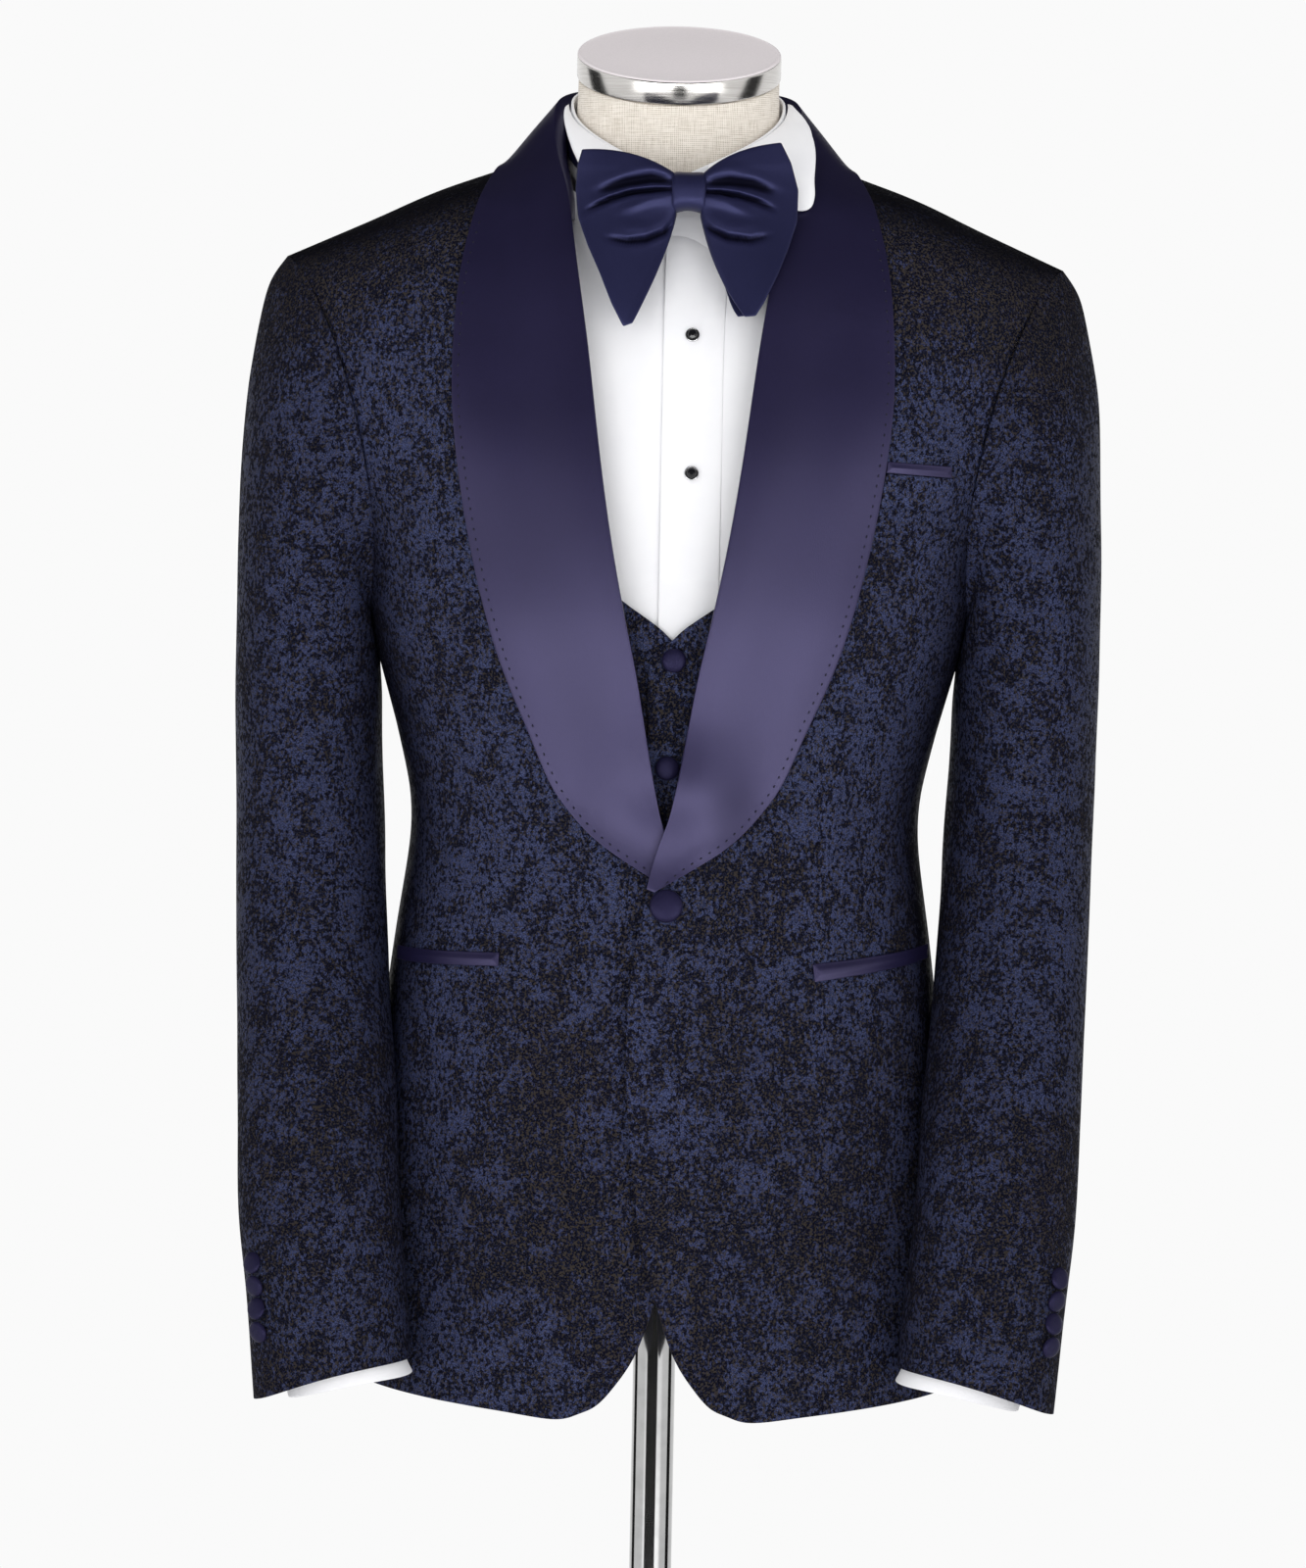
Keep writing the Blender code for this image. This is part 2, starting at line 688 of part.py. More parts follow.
def pockets():
    left, right = jacket_lift(LEFT), jacket_lift(RIGHT)
    seam = 0.0007

    def edge(z):
        return LAPEL_EDGE.at("across", z) + seam

    jet = ((edge(1.2985), 1.2985), (0.1600, 1.2958), (edge(1.3049), 1.3049), (0.1597, 1.3024))
    patch("breast_jet", LEFT, jet, (4, 1), 2 * GAP, JET_WALL, "satin", left)
    welt = ((edge(1.2790), 1.2790), (0.1606, 1.2762), (edge(1.2981), 1.2981), (0.1600, 1.2954))
    patch("breast_welt", LEFT, welt, (4, 1), 2 * GAP, JET_WALL, "jacquard", left)
    high = ((0.0875, 1.0050), (0.1540, 1.0130), (0.0861, 1.0155), (0.1545, 1.0212))
    patch("hip_jet_left", LEFT, high, (7, 1), 2 * GAP, JET_WALL, "satin", left)
    level = ((0.0935, 1.0105), (0.1535, 1.0070), (0.0931, 1.0185), (0.1535, 1.0150))
    patch("hip_jet_right", RIGHT, level, (7, 1), 2 * GAP, JET_WALL, "satin", right)


# --- buttons and studs --------------------------------------------------------------
def button_profile(radius, height):
    """A cloth-covered button: a flat back, a rounded rim and a low dome."""
    return (
        (0.0, 0.0),
        (0.80 * radius, 0.0),
        (radius, 0.32 * height),
        (0.88 * radius, 0.68 * height),
        (0.50 * radius, 0.93 * height),
        (0.0, height),
    )


def button_on_trunk(name, x, z, out, radius, height, material_name, segments=14):
    normal = trunk_normal(FRONT, x, z)
    place = facing(trunk(FRONT, x, z, out + GAP), normal)
    lathe(name, button_profile(radius, height), material_name, segments, place)


def front_buttons():
    lift = jacket_lift(LEFT)
    button_on_trunk("front_button", 0.0018, 1.0495, lift(0.0018, 1.0495), 0.0095, 0.0052, "satin", 16)
    for number, (x, z) in enumerate(((0.0036, 1.1898), (0.0009, 1.1277)), 1):
        out = VEST[0] + VEST_LAP + GAP
        button_on_trunk(f"vest_button_{number}", x, z, out, 0.0070, 0.0040, "satin")


CUFF_BUTTON_RADIUS, CUFF_BUTTON_HEIGHT = 0.0064, 0.0030
CUFF_BUTTON_HEIGHTS = (0.8393, 0.8262, 0.8131, 0.8000)
CUFF_BUTTON_TILT = math.radians(11)
CUFF_BUTTON_ANGLE, CUFF_BUTTON_TURN = 36, 0.35
CUFF_BUTTON_STAND = 0.0012


def cuff_buttons():
    """Four buttons up each cuff, tilted in turn."""
    armhole = armhole_ring(JACKET[0], ARMPIT_HEIGHT, 360 // 12)
    rings = np.linspace(11, 13, 201)
    grid = sleeve_grid(armhole, rings)[1:]
    normals = outward_normals(grid)
    column = round(CUFF_BUTTON_ANGLE / 12)
    for side, end in ((LEFT, "left"), (RIGHT, "right")):
        for number, height in enumerate(CUFF_BUTTON_HEIGHTS, 1):
            row = int(np.argmin(abs(grid[:, column, 2] - height)))
            normal = unit(normals[row, column] - (0, CUFF_BUTTON_TURN, 0))
            lean = CUFF_BUTTON_TILT * (1 if number % 2 else -1)
            tilted = unit(normal + np.array((0, 0, math.tan(lean))))
            centre = grid[row, column] + normals[row, column] * CUFF_BUTTON_STAND
            place = facing(centre * (side, 1, 1), tilted * (side, 1, 1))
            profile = button_profile(CUFF_BUTTON_RADIUS, CUFF_BUTTON_HEIGHT)
            lathe(f"cuff_button_{end}_{number}", profile, "satin", 12, place)


# --- the waistcoat ------------------------------------------------------------------
VEST_NECKLINE = Table(
    "height across",
    [
        (1.2070, 0.0000),
        (1.2110, 0.0150),
        (1.2190, 0.0260),
        (1.2400, 0.0480),
        (1.2800, 0.0680),
        (1.3500, 0.0800),
        (1.4200, 0.0850),
        (1.4800, 0.0860),
    ],
)
VEST_LAP_FULL, VEST_LAP_FADE = 0.022, 0.035
VEST_BACK_HEIGHTS = (0.975, 1.020, 1.065, 1.110, 1.160)
VEST_HALF_LAP, VEST_SHOULDER_CUT = 0.0125, 0.030
VEST_FRONT_ROWS = ((0.955, 0.985), (0.995, 1.012), (1.045, 1.050), (1.095, 1.095), (1.145, 1.140))


def vest_lift(x, z):
    return VEST_LAP * (1 - smooth_step((x - VEST_LAP_FULL) / VEST_LAP_FADE))


def vest():
    for side, end in ((LEFT, "left"), (RIGHT, "right")):
        centre = VEST_CENTRE * side
        rows = [(centre - VEST_HALF_LAP, low, high) for low, high in VEST_FRONT_ROWS]
        rows.append((centre - VEST_HALF_LAP, 1.188, 1.172))
        panel(
            f"vest_front_{end}",
            side,
            FRONT,
            VEST,
            "jacquard",
            rows,
            meets(lambda z: VEST_NECKLINE.at("across", z) + centre, VEST_ARMPIT_HEIGHT),
            8,
            armpit=VEST_ARMPIT_HEIGHT,
            cut=VEST_SHOULDER_CUT,
            lift=vest_lift if side == LEFT else lambda x, z: 0.0,
        )
    armpit, cut = VEST_ARMPIT_HEIGHT, VEST_SHOULDER_CUT
    full_back("vest_back", VEST, "jacquard", VEST_BACK_HEIGHTS, 6, armpit, cut)


def full_back(name, layer, material_name, heights, columns, armpit, cut):
    """A back cut in one piece, from side seam to side seam."""
    out, thickness = layer
    rows = []
    for height in heights:
        half = TRUNK.at("half_width", height)
        turns = [math.sin(k / columns * math.pi / 2) for k in range(columns + 1)]
        rows.append([(half * turn, height) for turn in turns])
    for degrees in ARMHOLE_ANGLES[:-2]:
        share = armhole_share(degrees)
        outer_x = armhole_place(BACK, degrees, armpit)[0] - cut * share
        even = smooth_step(2.5 * share)
        places = []
        for k in range(columns + 1):
            way = k / columns
            x = outer_x * (even * way + (1 - even) * math.sin(way * math.pi / 2))
            places.append((x, armpit + share * (shoulder_height(x) - armpit)))
        rows.append(places)
    # The shoulders end on the shoulder line, and the middle on the neck seam.
    ends = [x for x, _ in rows[-1]]
    last = []
    for x in ends:
        rise = smooth_step((x - 0.028) / 0.050)
        low = rows[-1][ends.index(x)][1] + 0.0008
        last.append((x, low + (shoulder_height(x) - low) * rise))
    rows.append(last)
    shift = np.array((0.0, GAP / 2, 0.0))
    outer, inner = [], []
    for places in rows:
        whole = [(-x, z) for x, z in reversed(places[1:])] + list(places)
        outer.append([trunk(BACK, x, z, out) + shift for x, z in whole])
        inner.append([trunk(BACK, x, z, out - thickness) + shift for x, z in whole])
    return wall(name, outer, inner, material_name)


# --- the shirt ----------------------------------------------------------------------
SHIRT_HEIGHTS = (0.880, 0.940, 1.000, 1.055, 1.110, 1.170)
SHIRT_NECK = {40: 0.0500, 20: 0.0680, 0: 0.0735}
PLACKET_HALF, PLACKET_WALL = 0.0175, 0.0009
PLACKET_ANGLES = (180, 160, 140, 120, 100, 80, 60)
STUD_PLACES = ((0.0106, 1.3769), (0.0116, 1.2973))
STUD_RADIUS, STUD_HEIGHT = 0.0038, 0.0026


def shirt_body():
    for side, end in ((LEFT, "left"), (RIGHT, "right")):
        centre = SHIRT_CENTRE * side + GAP / 2

        def edge(degrees, centre=centre):
            return max(SHIRT_NECK.get(degrees, centre), centre)

        panel(
            f"shirt_front_{end}",
            side,
            FRONT,
            SHIRT,
            "shirt_cotton",
            [(centre, height, height) for height in SHIRT_HEIGHTS],
            edge,
            7,
            armpit=SHIRT_ARMPIT_HEIGHT,
        )
    full_back("shirt_back", SHIRT, "shirt_cotton", SHIRT_HEIGHTS, 6, SHIRT_ARMPIT_HEIGHT, 0.0)
    gap = SHIRT[0] + 4 * GAP
    acrosses = [SHIRT_CENTRE + PLACKET_HALF * share for share in (-1, -0.3, 0.3, 1)]
    places = [[(x, height) for x in acrosses] for height in SHIRT_HEIGHTS[-2:]]
    for degrees in PLACKET_ANGLES:
        share = armhole_share(degrees)
        rise = [share * (shoulder_height(x) - SHIRT_ARMPIT_HEIGHT) for x in acrosses]
        places.append([(x, SHIRT_ARMPIT_HEIGHT + up) for x, up in zip(acrosses, rise)])
    inner = [[trunk(FRONT, x, z, gap) for x, z in row] for row in places]
    outer = [[trunk(FRONT, x, z, gap + PLACKET_WALL) for x, z in row] for row in places]
    wall("shirt_placket", outer, inner, "shirt_cotton")
    for name, (x, z) in zip(("stud_upper", "stud_lower"), STUD_PLACES):
        out = gap + PLACKET_WALL
        button_on_trunk(name, x, z, out, STUD_RADIUS, STUD_HEIGHT, "stud_black", 12)


# Rings of the shirt's sleeve, as places along the jacket's, and how far inside it they lie.
SHIRT_SLEEVE_RINGS = (1.5, 3, 5, 7, 8.5, 10, 11.85)
SHIRT_SLEEVE_INSET, SHIRT_ARMPIT_LIFT = 0.0095, 0.020
# Rings of the shirt's cuff, which hangs below the jacket's hem at its inner side.
CUFF_RINGS = (
    # outer x and z, inner x and z, middle y, dip
    (0.2260, 0.8255, 0.1540, 0.8278, -0.0925, 1.0),
    (0.2200, 0.7950, 0.1485, 0.8050, -0.0950, 1.3),
    (0.2150, 0.7750, 0.1445, 0.7860, -0.0965, 1.6),
    (0.2110, 0.7590, 0.1395, 0.7745, -0.0965, 1.9),
)
CUFF_HALF_DEPTH, CUFF_WALL = 0.0340, 0.0014


def cuff_ring(outer_x, outer_z, inner_x, inner_z, middle_y, dip):
    ring = []
    for degrees in sleeve_angles(16):
        turn = math.radians(degrees)
        share = (1 + math.cos(turn)) / 2
        x = inner_x + (outer_x - inner_x) * share
        z = inner_z + (outer_z - inner_z) * share**dip
        ring.append((x, middle_y - CUFF_HALF_DEPTH * math.sin(turn), z))
    return ring


def shirt_sleeves():
    for side, end in ((LEFT, "left"), (RIGHT, "right")):
        armhole = armhole_ring(SHIRT[0], SHIRT_ARMPIT_HEIGHT, 12)
        grid = sleeve_grid(armhole, SHIRT_SLEEVE_RINGS, SHIRT_SLEEVE_INSET, SHIRT_ARMPIT_LIFT)
        inner = toward_armhole(grid[0], SHIRT[1])
        tube(f"shirt_sleeve_{end}", side, grid, SHIRT[1], "shirt_cotton", inner)
        cuff = np.array([cuff_ring(*row) for row in CUFF_RINGS])
        tube(f"shirt_cuff_{end}", side, cuff, CUFF_WALL, "shirt_cotton")


# The collar band, by degrees round the neck from the front: its two edges' heights.
BAND = Table(
    "turn top bottom",
    [
        (0, 1.4640, 1.4385),
        (25, 1.4765, 1.4437),
        (42, 1.4845, 1.4490),
        (57, 1.4916, 1.4575),
        (75, 1.5000, 1.4670),
        (90, 1.5080, 1.4740),
        (120, 1.5170, 1.4795),
        (150, 1.5240, 1.4815),
        (180, 1.5270, 1.4820),
    ],
)
BAND_MIDDLE_Y = -0.0010
BAND_LOW = (0.0645, 0.0695, 0.0635)
BAND_HIGH = (0.0625, 0.0645, 0.0610)
BAND_END, BAND_WALL = 0.3, 0.0016
# The bow's ribbon lies on the band, under the wings.
RIBBON_END, RIBBON_GAP, RIBBON_OUT = 3, 0.0004, 0.0013
RIBBON_SHARES = (0.25, 0.72)


def neck_point(turn, height_share, out=0.0):
    """A point of the collar band's outer face: degrees from the front, and 0 low to 1 high."""
    folded = turn if turn <= 180 else 360 - turn
    angle = math.radians(turn)
    low, high = np.array(BAND_LOW), np.array(BAND_HIGH)
    half_width, front, back = low + (high - low) * height_share
    depth = front if math.cos(angle) > 0 else back
    bottom, top = BAND.at("bottom", folded), BAND.at("top", folded)
    x = (half_width + out) * math.sin(angle)
    y = BAND_MIDDLE_Y - (depth + out) * math.cos(angle)
    return np.array((x, y, bottom + (top - bottom) * height_share))


def collar():
    turns = np.linspace(BAND_END, 360 - BAND_END, 29)
    shares = (0.0, 0.5, 1.0)
    outer = [[neck_point(turn, share) for turn in turns] for share in shares]
    inner = [[neck_point(turn, share, -BAND_WALL) for turn in turns] for share in shares]
    wall("collar_band", outer, inner, "shirt_cotton")
    ribbon = [RIBBON_END, *turns[1:-1], 360 - RIBBON_END]
    outer = [[neck_point(turn, share, RIBBON_OUT) for turn in ribbon] for share in RIBBON_SHARES]
    inner = [[neck_point(turn, share, RIBBON_GAP) for turn in ribbon] for share in RIBBON_SHARES]
    wall("neck_band", outer, inner, "bow_satin")


# Each collar wing, by where its fold leaves the band: degrees round the neck, then the
# free edge. The left wing falls over the lapel, and the right one lies behind the bow.
WING_LEFT = (
    (16, 0.0190, -0.0800, 1.4560),
    (26, 0.0340, -0.0830, 1.4530),
    (40, 0.0560, -0.0840, 1.4490),
    (54, 0.0757, -0.0820, 1.4469),
    (66, 0.0779, -0.0690, 1.4614),
    (77, 0.0775, -0.0520, 1.4765),
    (87, 0.0750, -0.0310, 1.4893),
    (95, 0.0690, -0.0090, 1.5040),
)
WING_RIGHT = (
    (16, 0.0190, -0.0790, 1.4560),
    (26, 0.0300, -0.0800, 1.4550),
    (38, 0.0400, -0.0780, 1.4560),
    (50, 0.0480, -0.0700, 1.4600),
    (60, 0.0545, -0.0580, 1.4700),
    (70, 0.0590, -0.0440, 1.4810),
    (80, 0.0630, -0.0280, 1.4920),
    (88, 0.0650, -0.0120, 1.5010),
)
WING_WALL, WING_GAP = 0.0010, 0.0004


def collar_wings():
    columns = 5
    for side, end, rows in ((LEFT, "left", WING_LEFT), (RIGHT, "right", WING_RIGHT)):
        grid = []
        for turn, edge_x, edge_y, edge_z in rows:
            fold = neck_point(turn, 0.99, WING_GAP)
            edge = np.array((edge_x, edge_y, edge_z))
            away = unit(fold * (1, 1, 0))
            width = np.linalg.norm(edge - fold)
            line = []
            for k in range(columns):
                way = k / (columns - 1)
                bulge = 0.16 * width * math.sin(math.pi * way) * away
                line.append(fold + (edge - fold) * way + bulge)
            grid.append(line)
        grid = np.array(grid)
        normals = np.cross(np.gradient(grid, axis=0), np.gradient(grid, axis=1))
        normals /= np.linalg.norm(normals, axis=2, keepdims=True)
        normals *= np.sign((normals * (grid * (1, 1, 0))).sum())
        normals[:, 0] = [unit(fold * (1, 1, 0)) for fold in grid[:, 0]]
        outer = grid + WING_WALL * normals
        wall(f"collar_wing_{end}", mirrored(outer, side), mirrored(grid, side), "shirt_cotton")


# --- the bow tie --------------------------------------------------------------------
# Each wing fans out from the knot in rays: a ray's height at the knot, a point halfway
# along it, and its end on the wing's outline.
BOW_LEFT = (
    (1.4655, 0.0330, 1.4785, 0.0590, 1.4850),
    (1.4630, 0.0370, 1.4710, 0.0650, 1.4735),
    (1.4600, 0.0385, 1.4620, 0.0694, 1.4580),
    (1.4565, 0.0380, 1.4510, 0.0690, 1.4400),
    (1.4535, 0.0360, 1.4395, 0.0640, 1.4240),
    (1.4505, 0.0335, 1.4290, 0.0585, 1.4100),
    (1.4470, 0.0295, 1.4190, 0.0510, 1.3940),
    (1.4445, 0.0260, 1.4125, 0.0462, 1.3862),
    (1.4420, 0.0240, 1.4110, 0.0400, 1.3855),
)
BOW_RIGHT = (
    (1.4655, 0.0250, 1.4768, 0.0545, 1.4790),
    (1.4630, 0.0290, 1.4690, 0.0570, 1.4700),
    (1.4600, 0.0305, 1.4600, 0.0578, 1.4560),
    (1.4565, 0.0300, 1.4500, 0.0560, 1.4400),
    (1.4535, 0.0275, 1.4400, 0.0500, 1.4240),
    (1.4505, 0.0240, 1.4300, 0.0430, 1.4090),
    (1.4470, 0.0190, 1.4210, 0.0365, 1.3945),
    (1.4445, 0.0140, 1.4150, 0.0305, 1.3830),
    (1.4420, 0.0080, 1.4150, 0.0240, 1.3795),
)
KNOT_MIDDLE = np.array((0.0069, -0.0848, 1.4550))
KNOT_HALF = np.array((0.0087, 0.0150, 0.0117))
BOW_DEPTH, BOW_DROOP = -0.0905, -0.0285
BOW_SPREAD = 0.0050


def bow_ray(row, way, start_x):
    knot_z, middle_x, middle_z, end_x, end_z = row
    start, middle, end = np.array(((start_x, knot_z), (middle_x, middle_z), (end_x, end_z)))
    control = 2 * middle - (start + end) / 2
    x, z = (1 - way) ** 2 * start + 2 * way * (1 - way) * control + way**2 * end
    y = BOW_DEPTH - 0.004 * math.sin(math.pi * way)
    y += BOW_DROOP * way * smooth_step((1.470 - z) / 0.090)
    return np.array((x, y, z))


def bow_tie():
    columns = 8
    for side, end, rows in ((LEFT, "left", BOW_LEFT), (RIGHT, "right", BOW_RIGHT)):
        start_x = side * KNOT_MIDDLE[0] + KNOT_HALF[0] + GAP
        front, back = [], []
        for number, row in enumerate(rows):
            lay = math.sin(math.pi * number / (len(rows) - 1))
            ahead, behind = [], []
            for k in range(columns):
                way = k / (columns - 1)
                point = bow_ray(row, way, start_x)
                half = 0.0011 + BOW_SPREAD * lay**0.6 * (1 - way**3)
                ahead.append(point - (0, half, 0))
                behind.append(point + (0, 0.7 * half, 0))
            front.append(ahead)
            back.append(behind)
        wall(f"bow_wing_{end}", mirrored(front, side), mirrored(back, side), "bow_satin")
    profile = ((0, -1), (0.78, -0.94), (0.97, -0.6), (1, 0), (0.97, 0.6), (0.78, 0.94), (0, 1))
    place = Matrix.Translation(Vector(KNOT_MIDDLE)) @ Matrix.Diagonal((*KNOT_HALF, 1))
    lathe("bow_knot", profile, "bow_satin", 16, place)


# --- the dress form and its stand ---------------------------------------------------
# The padded form, from the hips up: half width, and the heights of each ring at its
# sides, front and back. The flat sides above the chest are its arm plates.
FORM_BOTTOM = 0.832
FORM_ROWS = (
    (0.1500, FORM_BOTTOM, FORM_BOTTOM, FORM_BOTTOM),
    (0.1640, 0.845, 0.845, 0.845),
    (0.1640, 0.900, 0.900, 0.900),
    (0.1560, 0.970, 0.970, 0.970),
    (0.1490, 1.040, 1.040, 1.040),
    (0.1460, 1.090, 1.090, 1.090),
    (0.1560, 1.150, 1.150, 1.150),
    (0.1690, 1.210, 1.210, 1.210),
    (0.1740, 1.270, 1.270, 1.270),
    (0.1760, 1.330, 1.330, 1.330),
    (0.1740, 1.380, 1.370, 1.370),
    (0.1640, 1.416, 1.394, 1.397),
    (0.1440, 1.433, 1.394, 1.410),
    (0.1180, 1.438, 1.396, 1.416),
    (0.0930, 1.443, 1.404, 1.422),
)
CAP_TILT = math.radians(17.8)
CAP_TOP = np.array((0.0, -0.0080, 1.5375))
CAP_RADIUS, CAP_HEIGHT = 0.0595, 0.0150
CAP_AXIS = np.array((0.0, -math.sin(CAP_TILT), math.cos(CAP_TILT)))
NECK_ROWS = (
    # centre y, centre z, tilt in degrees, half width, half depth
    (-0.0010, 1.4560, 14.0, 0.0545, 0.0530),
    (-0.0005, 1.4850, 16.0, 0.0588, 0.0580),
    (-0.0020, 1.5080, 17.5, 0.0588, 0.0588),
)
FORM_SEGMENTS = 24
POLE_RADIUS = 0.0125
BASE_RADIUS, BASE_THICKNESS = 0.180, 0.010
HUB_HEIGHT = 0.034


def form_ring_point(half_width, side_z, front_z, back_z, turn):
    face = FRONT if math.cos(turn) > -1e-9 else BACK
    x = half_width * math.sin(turn)
    middle_z = front_z if face == FRONT else back_z
    z = side_z + (middle_z - side_z) * abs(math.cos(turn))
    z = min(z, shoulder_height(x) - 0.004)
    point = trunk(face, x, z, FORM_OUT)
    if side_z == FORM_BOTTOM:
        point[2] = FORM_BOTTOM
    return point


def dress_form():
    turns = [math.tau * k / FORM_SEGMENTS for k in range(FORM_SEGMENTS)]
    rings = [[form_ring_point(*row, turn) for turn in turns] for row in FORM_ROWS]
    for centre_y, centre_z, tilt, half_width, half_depth in NECK_ROWS:
        lean = math.radians(tilt)
        rings.append(
            [
                (
                    half_width * math.sin(turn),
                    centre_y - half_depth * math.cos(turn) * math.cos(lean),
                    centre_z - half_depth * math.cos(turn) * math.sin(lean),
                )
                for turn in turns
            ]
        )
    top = CAP_TOP - CAP_AXIS * (CAP_HEIGHT + GAP)
    side_way = np.array((1.0, 0.0, 0.0))
    front_way = np.cross(CAP_AXIS, side_way)
    radius = CAP_RADIUS - 0.0012
    rings.append(
        [top + radius * (math.sin(t) * side_way - math.cos(t) * front_way) for t in turns]
    )
    work = bmesh.new()
    loops = [[work.verts.new(point) for point in ring] for ring in rings]
    for low, high in zip(loops, loops[1:]):
        edges = []
        for loop in (low, high):
            for pair in zip(loop, loop[1:] + loop[:1]):
                edges.append(work.edges.get(pair) or work.edges.new(pair))
        bmesh.ops.bridge_loops(work, edges=edges)
    work.faces.new(loops[0])
    work.faces.new(loops[-1])
    finish("form_torso", work, "linen")


def neck_cap():
    edge = 0.0016
    profile = (
        (0, 0),
        (CAP_RADIUS, 0),
        (CAP_RADIUS, CAP_HEIGHT - edge),
        (CAP_RADIUS - 0.3 * edge, CAP_HEIGHT - 0.3 * edge),
        (CAP_RADIUS - edge, CAP_HEIGHT),
        (0, CAP_HEIGHT + 0.0008),
    )
    place = facing(CAP_TOP - CAP_AXIS * CAP_HEIGHT, CAP_AXIS)
    lathe("neck_cap", profile, "brushed_steel", 40, place)


def stand():
    pole_top = FORM_BOTTOM - GAP
    pole = (
        (0, BASE_THICKNESS),
        (POLE_RADIUS, BASE_THICKNESS),
        (POLE_RADIUS, pole_top),
        (0, pole_top),
    )
    lathe("stand_pole", pole, "chrome", 24)
    floor = BASE_THICKNESS - GAP
    bore = POLE_RADIUS + GAP
    base = (
        (0, 0),
        (BASE_RADIUS, 0),
        (BASE_RADIUS, 0.7 * BASE_THICKNESS),
        (BASE_RADIUS - 0.004, BASE_THICKNESS),
        (0.026, BASE_THICKNESS),
        (0.021, BASE_THICKNESS + 0.006),
        (0.020, HUB_HEIGHT - 0.002),
        (0.018, HUB_HEIGHT),
        (bore, HUB_HEIGHT),
        (bore, floor),
        (0, floor),
    )
    lathe("stand_base", base, "brushed_steel", 48)


def main():
    for piece in list(bpy.data.objects):
        bpy.data.objects.remove(piece)
    jacket_fronts()
    jacket_backs()
    sleeves()
    lapels()
    pockets()
    front_buttons()
    cuff_buttons()
    vest()
    shirt_body()
    shirt_sleeves()
    collar()
    collar_wings()
    bow_tie()
    dress_form()
    neck_cap()
    stand()


main()
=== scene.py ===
# %% [markdown]
# # A dinner suit on its dress form
#
# The suit is a shawl-lapel dinner jacket with its waistcoat, dress shirt and bow tie, worn
# by a limbless dress form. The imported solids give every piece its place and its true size.
# This lesson lays finer cloth, buttons, stitches and finishes on them.

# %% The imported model
import json
import math

import bmesh
import bpy
import numpy as np
from mathutils import Matrix, Vector, kdtree, noise
from mathutils.bvhtree import BVHTree


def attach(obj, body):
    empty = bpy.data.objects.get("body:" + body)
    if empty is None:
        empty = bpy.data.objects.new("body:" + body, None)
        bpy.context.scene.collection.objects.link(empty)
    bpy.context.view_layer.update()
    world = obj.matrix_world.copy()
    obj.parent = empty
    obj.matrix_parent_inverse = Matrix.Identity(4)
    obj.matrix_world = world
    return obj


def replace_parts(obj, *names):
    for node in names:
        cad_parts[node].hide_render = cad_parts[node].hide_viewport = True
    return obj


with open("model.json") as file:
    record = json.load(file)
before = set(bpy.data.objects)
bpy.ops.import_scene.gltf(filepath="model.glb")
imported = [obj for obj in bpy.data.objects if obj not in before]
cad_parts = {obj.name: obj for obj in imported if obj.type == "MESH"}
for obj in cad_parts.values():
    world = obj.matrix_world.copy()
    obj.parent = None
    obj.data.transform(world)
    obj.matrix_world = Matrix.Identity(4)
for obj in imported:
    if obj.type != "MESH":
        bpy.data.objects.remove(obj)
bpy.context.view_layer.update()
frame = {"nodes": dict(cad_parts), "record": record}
nodes = frame["nodes"]
scene = bpy.context.scene
MM = 0.001

# %% [markdown]
# ## The camera
#
# The camera stands at chest height almost four metres away and looks down a little. Its
# film is tall, so the lens is set from the height of the film. It leans by one degree.

# %% The camera
CAMERA_PLACE, CAMERA_AIM = Vector((0, -3.7, 1.40)), Vector((0, 0, 1.11))
CAMERA_LEAN, CAMERA_LENS, FILM_HEIGHT = math.radians(1.11), 96.48, 24
CAMERA_SHIFT = -0.00785


def make_camera():
    film = bpy.data.cameras.new("camera")
    film.sensor_fit = "VERTICAL"
    film.sensor_height = FILM_HEIGHT
    film.lens = CAMERA_LENS
    film.shift_x = CAMERA_SHIFT
    camera = bpy.data.objects.new("camera", film)
    scene.collection.objects.link(camera)
    way = CAMERA_AIM - CAMERA_PLACE
    dip = math.atan2(-way.z, way.y)
    turn = Matrix.Rotation(math.pi / 2 - dip, 4, "X") @ Matrix.Rotation(CAMERA_LEAN, 4, "Z")
    camera.matrix_world = Matrix.Translation(CAMERA_PLACE) @ turn
    scene.camera = camera
    print("the camera looks down", round(math.degrees(dip), 1), "degrees")


make_camera()

# %% [markdown]
# ## Shader maths in plain Python
#
# A material is a graph of nodes. One class holds a socket and turns Python's operators
# into Math nodes, and another adds any other node. So a pattern reads like a formula.


